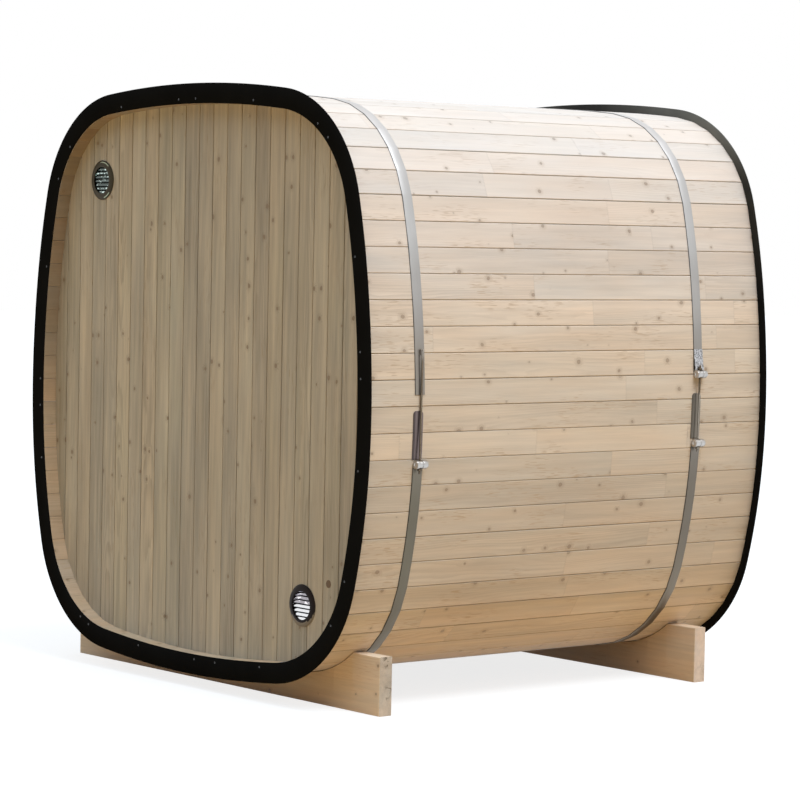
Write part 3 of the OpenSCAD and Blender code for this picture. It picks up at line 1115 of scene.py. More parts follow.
@dataclass(frozen=True)
class StaveShell:
    """The staves, in eight runs round the barrel; each has eased edges and finger joints.

    The finishes are those of the outer faces, the inner faces, a darker copy as painted shade,
    and the sides of the seams, a darker copy as painted shade in them. Half way in, the seams
    close to the tongue gap, as a tongue would close them.
    between which gaps and bevels differ, and uneven is how deep a stave may be sunk.
    """

    outline: Outline
    finishes: tuple[Material, Material, Material]
    thickness: float = 0.042
    gap: float = 0.0010
    bevel: float = 0.0024
    arris: float = 0.0010
    gap_spread: Flat = (0.6, 1.5)
    bevel_spread: Flat = (0.85, 1.12)
    uneven: float = 0.0004
    tongue_gap: float = 0.00012
    tongue_t: float = 0.0004
    shortest: float = 0.40
    longest: float = 1.50
    end_length: float = 0.12
    joint_tone: float = 0.11
    seed: int = 4100

    RUNS = {
        "right_staves": (-7, 15),
        "upper_right_staves": (8, 6),
        "roof_staves": (14, 12),
        "upper_left_staves": (26, 6),
        "left_staves": (32, 15),
        "lower_left_staves": (47, 6),
        "floor_staves": (53, 12),
        "lower_right_staves": (65, 6),
    }

    def section(self, k: int, chance: random.Random) -> tuple[list[Vector], list[Vector]]:
        """Draws the section of a stave.

        Args:
            k: Number of the stave, from the middle of the right side.
            chance: Source of its small unevenness.

        Returns:
            The points of its outer side and, opposite them, those of its inner side.
        """
        line = self.outline
        gap = self.gap * chance.uniform(*self.gap_spread)
        bevel = self.bevel * chance.uniform(*self.bevel_spread)
        sunk = -chance.uniform(0.0, self.uneven)
        start, end = (k - 0.5) * line.pitch, (k + 0.5) * line.pitch
        s0, s1 = start + gap / 2, end - gap / 2
        p0, p1 = line.point(s0, sunk), line.point(s1, sunk)
        step = (p1 - p0).normalized() * bevel
        outer = []
        for s, corner, inward in ((s0, p0, step), (s1, p1, -step)):
            low, flat = line.point(s, sunk - bevel), corner + inward
            chord = (low + flat) / 2
            outer.append([low, chord + (corner - chord) * 0.25, flat])
        front = [*outer[0], outer[0][2].lerp(outer[1][2], 0.5), *outer[1][::-1]]
        q0, q1 = line.point(s0, -self.thickness), line.point(s1, -self.thickness)
        back = [q0.lerp(q1, share) for share in (0.0, 0.02, 0.04, 0.5, 0.96, 0.98, 1.0)]
        near, half = self.tongue_gap / 2, self.tongue_t / 2
        for side, depth in ((front, half), (back, -half)):
            side.insert(0, line.point(start + near, depth - self.thickness / 2))
            side.append(line.point(end - near, depth - self.thickness / 2))
        return front, back

    def joints(self, low: float, high: float, chance: random.Random) -> list[float]:
        """Picks where the lengths of one stave are joined.

        Args:
            low: Where the stave starts along the barrel.
            high: Where it ends.
            chance: Source of the lengths.

        Returns:
            The places of the joints, with the two ends.
        """
        places = [low]
        at = low + chance.uniform(self.end_length, self.longest)
        while at < high - self.end_length:
            places.append(at)
            at += chance.uniform(self.shortest, self.longest)
        return places + [high]

    def rings(
        self, ring: Sequence[Vector], middle: Vector, places: Sequence[float]
    ) -> list[list[Vector]]:
        """Draws the rings of points along one stave.

        Args:
            ring: Its section.
            middle: The middle of its section.
            places: Where its lengths are joined, with the two ends.

        Returns:
            A ring at each joint, and two at each end, whose edge is eased.
        """
        rings = [[self.outline.world(p, y) for p in ring] for y in places[1:-1]]
        for y, inward in ((places[0], self.arris), (places[-1], -self.arris)):
            end = [self.outline.world(p, y) for p in ring]
            centre = self.outline.world(middle, y)
            small = [p + (centre - p).normalized() * self.arris for p in end]
            full = [p + Y * inward for p in end]
            rings = [small, full, *rings] if inward > 0 else [*rings, full, small]
        return rings

    def region(self, centre: Vector, normal: Vector) -> int:
        """Finds the finish of a face.

        Args:
            centre: Its centre.
            normal: Its normal.

        Returns:
            0 for an outer face, 1 for an inner one and 2 for the side of a seam.
        """
        out = Vector((centre.x, 0.0, centre.z - self.outline.axis_z)).normalized()
        facing = normal.dot(out)
        if -0.3 < facing < 0.87 and abs(normal.y) < 0.5:
            return 2
        return int(facing < -0.3)

    def run(self, name: str, first: int, count: int, chance: random.Random) -> None:
        """Builds one run of staves.

        Args:
            name: The CAD node of the run.
            first: Number of its first stave.
            count: How many staves it has.
            chance: Source of all that differs from stave to stave.
        """
        box = Span.of(name)
        draft, boards = Draft(), []
        for k in range(first, first + count):
            front, back = self.section(k, chance)
            middle = (front[3] + back[3]) / 2
            across = (front[5] - front[1]).normalized()
            places = self.joints(box.low.y, box.high.y, chance)
            tone = chance.random()
            groups = []
            for j, (start, end) in enumerate(pairwise(places)):
                at_start, at_end = j == 0, j == len(places) - 2
                half = (end - start) / 2
                boards.append(
                    Board(
                        self.outline.world(middle, (start + end) / 2),
                        Y,
                        Vector((across.x, 0, across.y)),
                        Cut.pick(chance, tone + self.joint_tone * chance.uniform(-0.5, 0.5)),
                        -FAR if at_start else -half,
                        FAR if at_end else half,
                    )
                )
                groups += [len(boards) - 1] * (1 + at_start + at_end)
            draft.strips(self.rings(front + back[::-1], middle, places), Ends.PAIRED, groups)
        mesh = draft.mesh(name, 20.0)
        put_grain(mesh, boards, draft.groups)
        regions = [self.region(face.center, face.normal) for face in mesh.polygons]
        Piece.of(name, "stave_wood").place(mesh, regions, *self.finishes)

    def build(self) -> None:
        """Builds all eight runs."""
        for number, (name, (first, count)) in enumerate(self.RUNS.items()):
            self.run(name, first, count, random.Random(self.seed + number))


@dataclass(frozen=True)
class EndWall:
    """An end wall of upright boards with bevelled seams, cut to the staves round it."""

    outline: Outline
    side: Side
    finish: Material
    plug_finish: Material
    stave_t: float = 0.042
    gap: float = 0.0003
    board_pitch: float = 0.0842
    board_gap: float = 0.0033
    narrowest: float = 0.012
    hair: float = 1e-5
    bevel: float = 0.0022
    bevel_spread: Flat = (0.85, 1.15)
    uneven: float = 0.0003
    plug_d: float = 0.027
    plug_at: Flat = (0.748, -0.656)
    hole_r: float = 0.056
    hole_depth: float = 0.1
    seed: int = 77

    def reach(self, loop: Sequence[Vector], x: float, upper: bool) -> float:
        """Finds where an upright line crosses a polygon.

        Args:
            loop: The polygon, measured from the axis.
            x: Where the line stands.
            upper: Whether the highest crossing is wanted, and not the lowest.

        Returns:
            The height of the crossing in the frame.
        """
        found = []
        for a, b in zip(loop, [*loop[1:], loop[0]]):
            if (a.x - x) * (b.x - x) <= 0 and abs(a.x - b.x) > 1e-9:
                found.append(a.y + (b.y - a.y) * (x - a.x) / (b.x - a.x))
        return self.outline.axis_z + (max(found) if upper else min(found))

    def spots(self, x0: float, x1: float, bevel: float) -> list[Flat]:
        """Draws the face of a board.

        Args:
            x0: Its left edge.
            x1: Its right edge.
            bevel: Size of the bevels at its edges.

        Returns:
            The x of the points across the face and how deep they are sunk.
        """
        ease = bevel * 0.35
        flat = [(x0 + bevel + (x1 - x0 - 2 * bevel) * n / 6, 0.0) for n in range(7)]
        return [(x0, bevel), (x0 + ease, ease), *flat, (x1 - ease, ease), (x1, bevel)]

    def build(self) -> None:
        """Builds the wall, with its vent holes where vents are, and its plug."""
        node = self.side.node("wall")
        box = Span.of(node)
        loop = self.outline.seam_loop(-self.stave_t - self.gap)
        edge = max(p.x for p in loop)
        inward = -self.side.value
        face, back = (box.low.y, box.high.y)[::inward]
        half = math.ceil((edge - self.board_pitch / 2) / self.board_pitch)
        chance = random.Random(self.seed + self.side.value)
        draft, boards = Draft(), []
        for i in range(-half, half + 1):
            x0 = max(-edge + self.hair, (i - 0.5) * self.board_pitch + self.board_gap / 2)
            x1 = min(edge - self.hair, (i + 0.5) * self.board_pitch - self.board_gap / 2)
            if x1 - x0 < self.narrowest:
                continue
            spots = self.spots(x0, x1, self.bevel * chance.uniform(*self.bevel_spread))
            sunk = chance.uniform(0.0, self.uneven)
            rings = []
            for upper in (False, True):
                ends = [self.reach(loop, x, upper) for x, _ in spots]
                places = list(zip(spots, ends))
                front = [Vector((x, face + (sunk + depth) * inward, z)) for (x, depth), z in places]
                rear = [Vector((x, back, z)) for (x, _), z in places]
                rings.append((front + rear[::-1])[::inward])
            draft.strips(rings, Ends.PAIRED)
            middle = Vector(((x0 + x1) / 2, (face + back) / 2, self.outline.axis_z))
            boards.append(Board(middle, Z, X, Cut.pick(chance)))
        mesh = draft.mesh(node, 20.0)
        if self.side is Side.FRONT:
            mesh = self.pierced(mesh)
        groups = [self.board_at(face.center.x, boards) for face in mesh.polygons]
        put_grain(mesh, boards, groups)
        Piece.of(node, "wall_wood").place(mesh, (), self.finish)
        if self.side is Side.FRONT:
            self.build_plug(face, chance)

    @staticmethod
    def board_at(x: float, boards: Sequence[Board]) -> int:
        """Returns the number of the board whose middle is nearest to x."""
        return min(range(len(boards)), key=lambda i: abs(boards[i].middle.x - x))

    def pierced(self, mesh: Mesh) -> Mesh:
        """Cuts a round hole behind each vent.

        Args:
            mesh: The mesh of the whole wall.

        Returns:
            The mesh of the wall with its holes.
        """
        draft, r, h = Draft(), self.hole_r, self.hole_depth
        for name in ("upper_vent_frame", "lower_vent_frame"):
            place = standing(Span.of(name).middle, math.pi / 2)
            draft.lathe([(0, -h), (r, -h), (r, h), (0, h)], place, 64)
        cutter = in_scene("hole_cutter", draft.mesh("hole_cutter"))
        wall = in_scene("pierced_wall", mesh)
        cut = wall.modifiers.new("holes", "BOOLEAN")
        cut.operation = "DIFFERENCE"
        cut.object = cutter
        bpy.context.view_layer.update()
        depsgraph = bpy.context.evaluated_depsgraph_get()
        made = bpy.data.meshes.new_from_object(wall.evaluated_get(depsgraph))
        for used in (wall, cutter):
            bpy.data.objects.remove(used)
        made.name = "front_wall"
        smooth(made, 20.0)
        return made

    def build_plug(self, face: float, chance: random.Random) -> None:
        """Builds the dark plug where a loose knot was bored out of a board.

        Args:
            face: Where the wall's face lies along the barrel.
            chance: Source of the place in the trunk that the plug comes from.
        """
        r = self.plug_d / 2
        at = self.outline.world(Vector(self.plug_at), face)
        draft = Draft()
        profile = [(0, -0.004), (r, -0.004), (r, 0.0001), (r - 0.0006, 0.0005), (0, 0.0006)]
        draft.lathe(profile, standing(at, math.pi / 2), 40)
        mesh = draft.mesh("wall_plug")
        put_grain(mesh, [Board(at, Z, X, Cut.pick(chance))], draft.groups)
        Piece("wall_plug", "wall_wood").place(mesh, (), self.plug_finish)


@dataclass(frozen=True)
class Cradle:
    """A thick board on edge whose top is cut to the barrel.

    Land is how much of its flat top is straight beside the cut, and pith how far it was cut
    from the middle of its trunk.
    """

    outline: Outline
    side: Side
    finish: Material
    end_finish: Material
    clearance: float = 0.0002
    ease: float = 0.004
    land: float = 0.002
    points: int = 900
    pith: float = 0.085
    seed: int = 903

    def build(self) -> None:
        """Builds the cradle."""
        node = self.side.node("cradle")
        box = Span.of(node)
        half, top, ease = box.size.x / 2, box.high.z, self.ease
        step = self.outline.whole / self.points
        places = [self.outline.point(i * step, self.clearance) for i in range(self.points)]
        curve = sorted((p.x, self.outline.axis_z + p.y) for p in places)
        curve = [(x, z) for x, z in curve if z < top and abs(x) < half]
        limit = curve[-1][0] + self.land
        spots = [(-half, top), (-half + ease, top), (-limit, top), *curve]
        spots += [(limit, top), (half - ease, top), (half, top)]
        eased = ((0.0, ease), (ease * 0.3, ease * 0.3), (ease, 0.0))
        rows = [(box.low.y + depth, inset) for depth, inset in eased]
        rows += [(box.high.y - depth, inset) for depth, inset in eased[::-1]]
        rings = []
        for y, inset in rows:
            upper = [
                Vector((max(-half + inset, min(half - inset, x)), y, z - inset)) for x, z in spots
            ]
            lower = [Vector((p.x, y, inset * 0.5)) for p in upper]
            rings.append((upper + lower[::-1])[::-1])
        draft = Draft()
        draft.strips(rings, Ends.PAIRED)
        mesh = draft.mesh(node, 25.0)
        chance = random.Random(self.seed + self.side.value)
        cut = Cut(chance.uniform(0, 50), self.pith, chance.uniform(0.4, 1.2), chance.random())
        put_grain(mesh, [Board(box.middle, X, Z, cut)], draft.groups)
        ends = [int(abs(face.normal.x) > 0.9) for face in mesh.polygons]
        Piece.of(node, "cradle_wood").place(mesh, ends, self.finish, self.end_finish)


# ---- Steel ----


@dataclass(frozen=True)
class Strip:
    """Flat steel with rounded edges, run along a path across the barrel."""

    thickness: float
    width: float
    edge: float

    def section(self, width: float) -> list[Flat]:
        """Draws the section of the strip.

        Args:
            width: Its width there.

        Returns:
            How far out and how far along the barrel each point lies.
        """
        t, w, e = self.thickness, width / 2, min(self.edge, width / 4)
        c = e * 0.3
        half = [(0.0, w - e), (c, w - c), (e, w), (t - e, w), (t - c, w - c), (t, w - e)]
        return half + [(out, -aside) for out, aside in half[::-1]]

    def sweep(
        self,
        draft: Draft,
        outline: Outline,
        path: Sequence[tuple[Vector, Vector]],
        y: float,
        ends: Ends = Ends.FACED,
        widths: Sequence[float] = (),
        group: int = 0,
    ) -> None:
        """Adds the strip to a draft.

        Args:
            draft: Where the strip goes.
            outline: The outline whose axis the path is measured from.
            path: Points of the strip's inner face and the outward direction at each.
            y: Middle of the strip along the barrel.
            ends: How the ends of the strip are closed.
            widths: Width at each point, where it changes.
            group: Group of its faces.
        """
        rings = []
        for (place, out), width in zip(path, widths or [self.width] * len(path)):
            section = self.section(width)
            rings.append([outline.world(place + out * depth, y + aside) for depth, aside in section])
        draft.strips(rings, ends, [group] * len(rings))


@dataclass(frozen=True)
class TrimRing:
    """Black steel plates screwed over the ends of the staves, as one wide flat ring.

    Screws lists the places of the screws along the outline.
    """

    outline: Outline
    side: Side
    finish: Material
    screw_finish: Material
    lip: float = 0.0298
    inner: float = 0.042
    sunk: float = 0.0009
    edge: float = 0.0007
    points: int = 468
    screw_line: float = -0.025
    screw_d: float = 0.0076
    screws: tuple[float, ...] = (
        0.050, 0.458, 0.907, 0.985, 1.378, 1.723, 1.827, 2.191, 2.585, 2.735, 3.081, 3.510,
        3.612, 3.813, 4.505, 4.567, 4.903, 5.253, 5.378, 5.640, 6.112, 6.291, 6.673, 7.071,
    )

    def build(self) -> None:
        """Builds the ring and its screws."""
        line, node, out = self.outline, self.side.node("trim_ring"), self.side.value
        box = Span.of(node)
        root, face = (box.low.y, box.high.y)[::out]
        plate = face - self.sunk * out
        strip = Strip(self.lip + self.inner, abs(plate - root), self.edge)
        spots = [i * line.whole / self.points for i in range(self.points)]
        path = [(line.point(s, -self.inner), line.normal(s)) for s in spots]
        draft = Draft()
        strip.sweep(draft, line, path, (plate + root) / 2, Ends.JOINED)
        Piece.of(node, "black_steel").place(draft.mesh(node, 25.0), (), self.finish)
        heads = Draft()
        r, h = self.screw_d / 2, self.sunk
        profile = [
            (0, -0.001), (r, -0.001), (r, h * 0.1), (r * 0.8, h * 0.75), (r * 0.5, h),
            (r * 0.42, h), (r * 0.36, -h * 0.3), (0, -h * 0.4),
        ]
        for s in self.screws:
            at = line.world(line.point(s, self.screw_line), plate)
            heads.lathe(profile, standing(at, -out * math.pi / 2), 20)
        name = self.side.node("ring_screws")
        Piece(name, "black_steel").place(heads.mesh(name), (), self.screw_finish)


@dataclass(frozen=True)
class Tensioner:
    """A band round the staves, drawn tight by a threaded rod on the right side.

    At the rear the rod runs between two barrel nuts, each in a loop of the band. At the front
    it runs from one barrel nut up to a lug. The shifts are along the barrel, from the middle
    of the band. The tail of the rear strap comes out from under the loop by tail_rise and
    bulges by tail_bulge.
    """

    outline: Outline
    side: Side
    finishes: Finishes
    band_w: float = 0.042
    band_t: float = 0.0015
    band_gap: float = 0.0003
    band_end: float = -0.006
    band_rest: float = 0.004
    edge: float = 0.0004
    bevel: float = 0.0028
    nut_d: float = 0.026
    nut_gap: float = 0.0002
    nut_reach: float = 0.001
    head_d: float = 0.025
    head_len: float = 0.004
    rod_d: float = 0.008
    rod_end: float = 0.010
    rod_inset: float = 0.0024
    rod_nut_h: float = 0.0064
    rod_nut_gap: float = 0.0005
    rod_shift: float = -0.003
    rod_top_shift: float = 0.006
    thread: float = 0.0015
    thread_depth: float = 0.0004
    thread_gap: float = 0.0002
    slot_w: float = 0.014
    lug_w: float = 0.012
    lug_len: float = 0.020
    lug_inset: float = 0.003
    guard_r: float = 0.012
    guard_shift: float = -0.006
    tail: float = 0.085
    tail_start: float = 0.010
    tail_rise: float = 0.0065
    tail_bulge: float = 0.0030
    chamfer: float = 0.0012

    @property
    def rear(self) -> bool:
        """Returns whether this is the rear tensioner."""
        return self.side is Side.REAR

    @property
    def loop_r(self) -> float:
        """Returns the outer radius of the loop round a barrel nut."""
        return self.nut_d / 2 + self.nut_gap + self.band_t

    @cached_property
    def y(self) -> float:
        """Returns the middle of the band along the barrel."""
        return Span.of(self.side.node("band")).middle.y

    @cached_property
    def lean(self) -> Matrix:
        """Returns the turn that leans the band, built upright, about its middle."""
        box = Span.of(self.side.node("band"))
        turn = -self.side.value * math.asin((box.size.y - self.band_w) / box.size.z)
        middle = (0, self.y, self.outline.axis_z)
        return standing(middle, turn) @ Matrix.Translation(middle).inverted()

    @cached_property
    def nuts(self) -> dict[str, Vector]:
        """Returns the centre of each barrel nut, the lower one first."""
        nodes = ["rear_lower_barrel_nut", "rear_upper_barrel_nut"] if self.rear else ["front_barrel_nut"]
        heights = [Span.of(node).middle.z - self.outline.axis_z for node in nodes]
        out = self.loop_r + self.band_gap
        return {node: self.outline.side_point(z, out) for node, z in zip(nodes, heights)}

    @cached_property
    def low(self) -> Vector:
        """Returns the centre of the lower barrel nut."""
        return next(iter(self.nuts.values()))

    @cached_property
    def top(self) -> Vector:
        """Returns the centre of the upper barrel nut, or the upper end of a rod without one."""
        if self.rear:
            return self.nuts["rear_upper_barrel_nut"]
        z = Span.of("front_tension_rod").high.z - self.outline.axis_z - 0.0006
        return self.outline.side_point(z, self.loop_r - self.rod_inset)

    def span_path(self) -> list[tuple[Vector, Vector]]:
        """Returns the band's path round the barrel, from the upper loop to the lower one."""
        line, gap = self.outline, self.band_gap
        reach = line.side_r + self.loop_r
        start = math.asin(self.top.y / reach) * line.side_r if self.rear else self.band_end
        end = line.whole + math.asin(self.low.y / reach) * line.side_r
        path = [(line.point(start, gap), line.normal(start))]
        for k in range(line.staves + 2):
            s0, s1 = (k - 0.5) * line.pitch, (k + 0.5) * line.pitch
            a, b = line.point(s0), line.point(s1)
            step = (b - a).normalized()
            out = Vector((step.y, -step.x))
            for s, place in ((s0, a + step * self.bevel), (s1, b - step * self.bevel)):
                if start + self.band_rest < s < end - self.band_rest:
                    path.append((place + out * gap, out))
        return path + [(line.point(end, gap), line.normal(end))]

    def put(self, draft: Draft, node: str, slot: str, sharp: float, *finishes: Material) -> None:
        """Leans a draft with the band and places it as a piece.

        Args:
            draft: What was built round an upright band; its groups choose the finishes.
            node: The CAD node it stands for.
            slot: Its material slot.
            sharp: Angle, in degrees, above which an edge is shown sharp.
            finishes: A finish for each group.
        """
        mesh = draft.mesh(node, sharp)
        # The place across the band, which lays the painted shadow along its front edge.
        aside = mesh.attributes.new("aside", "FLOAT", "POINT")
        aside.data.foreach_set("value", [(v.co.y - self.y) * 2 / self.band_w for v in mesh.vertices])
        mesh.transform(self.lean)
        Piece.of(node, slot).place(mesh, draft.groups, *finishes)

    def build_band(self) -> None:
        """Builds the band with its loops."""
        draft, kit = Draft(), self.finishes
        strip = Strip(self.band_t, self.band_w, self.edge)
        strip.sweep(draft, self.outline, self.span_path(), self.y)
        turns = [math.tau * i / 40 for i in range(40)]
        outs = [Vector((math.cos(turn), math.sin(turn))) for turn in turns]
        half, slot = self.band_w / 2, self.slot_w / 2
        for centre in self.nuts.values():
            path = [(centre + out * (self.loop_r - self.band_t), out) for out in outs]
            for y0, y1 in ((-half, self.rod_shift - slot), (self.rod_shift + slot, half)):
                cheek = Strip(self.band_t, y1 - y0, 0.0003)
                middle = self.y + (y0 + y1) / 2
                cheek.sweep(draft, self.outline, path, middle, Ends.JOINED, group=1)
        if self.rear:
            self.add_tail(draft, strip)
        band = kit.rear_band if self.rear else kit.band
        node = self.side.node("band")
        self.put(draft, node, "galvanised_steel", 35.0, band, kit.bright, kit.crumpled)

    def add_tail(self, draft: Draft, strip: Strip) -> None:
        """Adds the crumpled tail of the strap, which comes out above the upper loop.

        Args:
            draft: Where the tail goes.
            strip: The steel of the strap.
        """
        line = self.outline
        root = math.asin((self.top.y + 0.004) / line.side_r) * line.side_r + self.tail_start
        points = []
        for share in (i / 16 for i in range(17)):
            lift = self.band_gap + self.band_t + 0.0003 + self.tail_rise * (1 - share) ** 2
            lift += self.tail_bulge * math.sin(share * 3.2 * math.pi) ** 2 * (1 - share * 0.6)
            points.append(line.point(root + (self.tail - self.tail_start) * share, lift))
        path = []
        for before, place, after in zip([points[0], *points], points, [*points[1:], points[-1]]):
            ahead = after - before
            path.append((place, Vector((ahead.y, -ahead.x)).normalized()))
        strip.sweep(draft, line, path, self.y, group=2)

    def build_nut(self, node: str, centre: Vector) -> None:
        """Builds a barrel nut with the head on its rear end.

        Args:
            node: The CAD node it stands for.
            centre: Its centre, measured from the axis of the barrel.
        """
        place = standing(self.outline.world(centre, self.y), -math.pi / 2)
        r, h, c = self.nut_d / 2, self.head_d / 2, self.chamfer
        high = self.band_w / 2 + self.nut_reach
        low, top = -high, high + self.head_len
        draft = Draft()
        draft.lathe(
            [(0, low + 0.002), (r * 0.35, low + 0.002), (r * 0.45, low), (r - c, low),
             (r - c * 0.3, low + c * 0.3), (r, low + c), (r, high - 0.0014), (r * 0.7, high - 0.0012),
             (r * 0.7, high + 0.001), (0, high + 0.001)],
            place,
        )
        draft.lathe(
            [(0, high + 0.0004), (h - c * 0.4, high + 0.0004), (h, high + c * 0.6), (h, top - c),
             (h - c * 0.4, top - c * 0.4), (h - c, top), (h * 0.50, top), (h * 0.44, top - 0.001),
             (h * 0.44, top - 0.004), (0, top - 0.0045)],
            place,
        )
        self.put(draft, node, "bright_steel", 30.0, self.finishes.bright)

    def build_rod(self) -> None:
        """Builds the threaded rod and its hexagon nuts."""
        draft, kit = Draft(), self.finishes
        rise = self.top - self.low
        aside = 0.0 if self.rear else self.rod_top_shift - self.rod_shift
        turn = Vector((rise.x, aside, rise.y)).to_track_quat("Z", "Y").to_matrix().to_4x4()
        foot = self.outline.world(self.low, self.y + self.rod_shift)
        place = Matrix.Translation(foot) @ turn
        off, nut_h = self.loop_r + self.rod_nut_gap, self.rod_nut_h
        past = off + nut_h + self.rod_end
        low, high = -past, rise.length + (past if self.rear else 0.0)
        r = self.rod_d / 2 - self.thread_gap
        root = r - self.thread_depth
        profile = [(0, low), (root - 0.0006, low)]
        z = low + self.chamfer
        while z < high - 0.0022:
            profile += [(root, z), (r, z + self.thread * 0.4), (r, z + self.thread * 0.6)]
            z += self.thread
        profile += [(root, z), (root - 0.0006, high), (0, high)]
        draft.lathe(profile, place, 16)
        corner = self.rod_d
        for z in (-off - nut_h, rise.length + off) if self.rear else (-off - nut_h,):
            draft.lathe(
                [(0, z), (corner * 0.86, z), (corner, z + 0.001), (corner, z + nut_h - 0.001),
                 (corner * 0.86, z + nut_h), (0, z + nut_h)],
                place, 6,
            )
        if not self.rear:
            self.add_lug(draft)
        rod = kit.rear_rod if self.rear else kit.rod
        self.put(draft, self.side.node("tension_rod"), "rod_steel", 30.0, rod, kit.band)

    def add_lug(self, draft: Draft) -> None:
        """Adds the lug that holds the upper end of the rod off the band.

        Args:
            draft: Where the lug goes.
        """
        line, c = self.outline, self.chamfer
        foot = self.band_gap + self.band_t + 0.0001
        y = self.y + self.rod_top_shift
        rings = []
        for share, inset in ((0.0, c), (0.06, 0.0), (0.94, 0.0), (1.0, c)):
            z = self.top.y - self.lug_len * (1 - share)
            high, w = self.loop_r - self.lug_inset - inset, self.lug_w / 2 - inset
            half = [(foot, w), (high - c, w), (high, w - c)]
            ring = [(out, -aside) for out, aside in half] + half[::-1]
            rings.append([line.world(line.side_point(z, out), y + aside) for out, aside in ring])
        draft.strips(rings, groups=[1, 1, 1])

    def build_guard(self) -> None:
        """Builds the strip with rounded upper corners that keeps the rod off the wood."""
        node, line, r, kit = self.side.node("guard_strip"), self.outline, self.guard_r, self.finishes
        box = Span.of(node)
        z0, z1 = box.low.z - line.axis_z, box.high.z - line.axis_z - r - 0.0001
        rows = [(z0 + (z1 - z0) * i / 8, self.band_w) for i in range(8)]
        for turn in (math.pi / 2 * i / 12 for i in range(13)):
            rows.append((z1 + r * math.sin(turn), self.band_w - 2 * r * (1 - math.cos(turn))))
        places = [line.side_point(z, self.band_gap) for z, _ in rows]
        path = [(p, Vector((p.x - line.side_c, p.y)).normalized()) for p in places]
        draft = Draft()
        strip = Strip(self.band_t, self.band_w, self.edge)
        strip.sweep(draft, line, path, self.y + self.guard_shift, widths=[w for _, w in rows])
        finish = kit.rear_guard if self.rear else kit.guard
        self.put(draft, node, "galvanised_steel", 35.0, finish)

    def build(self) -> None:
        """Builds the band, its nuts, its rod and its guard strip."""
        self.build_band()
        for node, centre in reversed(self.nuts.items()):
            self.build_nut(node, centre)
        self.build_rod()
        self.build_guard()


@dataclass(frozen=True)
class Vent:
    """A round louvred vent in the front wall.

    Blades is how many there are, and the finishes are those of the lower blades, the upper
    ones, the rim, its bevel and its arcs of painted highlight. Pale is the greatest width of the
    bevel, a painted reflection that widens towards the lower right, glints lists the arcs, in
    degrees, of painted highlight on the rim, and dip is how deep a blade starts.
    """

    name: str
    finishes: tuple[Material, ...]
    pale: float = 0.0
    dip: float = 0.0083
    glints: tuple[Flat, ...] = ()
    rim_r: float = 0.073
    lip_r: float = 0.049
    hole_r: float = 0.0557
    sleeve_t: float = 0.0015
    rim_h: float = 0.007
    wall_t: float = 0.042
    field_r: float = 0.0525
    blades: int = 7
    upper_blades: int = 3
    pitch: float = 0.0143
    blade_t: float = 0.0010
    blade_top: float = 0.0070
    blade_h: float = 0.0138
    blade_lift: float = 0.0028

    def build(self) -> None:
        """Builds the rim and its blades."""
        node = self.name + "_frame"
        middle = Span.of(node).middle
        place = standing((middle.x, Span.of(node).low.y + self.rim_h, middle.z), math.pi / 2)
        r, h, inner = self.rim_r, self.rim_h, self.hole_r - self.sleeve_t
        profile = [
            (inner, -self.wall_t), (self.hole_r, -self.wall_t), (self.hole_r, 0.0002),
            (r - 0.0005, 0.0002), (r, 0.0008), (r, 0.0014), (r - 0.0020, 0.0026),
            (r - 0.0050, 0.0042), (r - 0.0085, 0.0053), (r - 0.0145, 0.0064),
            (r - 0.0200, h), (self.lip_r + 0.0010, h), (self.lip_r, h * 0.93),
            (self.lip_r, h * 0.72), (inner, h * 0.60),
        ]
        draft = Draft()
        draft.lathe(profile, place, 96)
        mesh = draft.mesh(node, 40.0)
        regions = [self.region(face.center - middle) for face in mesh.polygons]
        Piece.of(node, "polished_steel").place(mesh, regions, *self.finishes[2:])
        self.build_blades(place)

    def region(self, off: Vector) -> int:
        """Finds the finish of a face of the rim.

        Args:
            off: Where the face lies from the middle of the vent.

        Returns:
            0 for the rim's own finish, 1 for the pale bevel, a painted reflection, and 2 for an arc of
            painted highlight.
        """
        turn = math.degrees(math.atan2(off.z, off.x))
        inset = self.rim_r - math.hypot(off.x, off.z)
        # Arcs of painted highlight on the rim, and the pale bevel, a painted reflection that widens towards
        # the lower right.
        if 0.0050 < inset < 0.0085 and any(a < turn < b for a, b in self.glints):
            return 2
        return int(inset < self.pale * math.sin(math.radians(-turn - 10.0)))

    def build_blades(self, place: Matrix) -> None:
        """Builds the curved blades and the hoop that holds them.

        Args:
            place: The middle of the vent, with z outwards.
        """
        node, r, t = self.name + "_louvres", self.field_r, self.blade_t
        draft = Draft()
        draft.lathe([(r - 0.001, -0.012), (r, -0.012), (r, 0.0), (r - 0.001, 0.0)], place, 72)
        for i in range(self.blades):
            middle = (i - (self.blades - 1) / 2) * self.pitch
            rows = []
            for share in (n / 8 for n in range(9)):
                # Each blade leaves the wall steeply at its top and flattens towards its lower lip.
                drop = middle + self.blade_top - self.blade_h * share
                lift = self.blade_lift - self.dip * (1 - math.sin(share * math.pi / 2) ** 0.9)
                rows.append((drop, lift, math.sqrt(max(1e-6, (r - 0.0006) ** 2 - drop * drop))))
            rings = []
            for share in (-1 + m / 12 for m in range(25)):
                outer = [Vector((share * reach, z, y)) for z, y, reach in rows]
                under = [Vector((p.x, p.y - t * 0.35, p.z - t)) for p in outer[::-1]]
                rings.append([place @ p for p in outer + under])
            group = int(i >= self.blades - self.upper_blades)
            draft.strips(rings, Ends.PAIRED, [group] * len(rings))
        mesh = draft.mesh(node, 40.0)
        Piece.of(node, "polished_steel").place(mesh, draft.groups, *self.finishes[:2])


# ---- Light, floor and camera ----


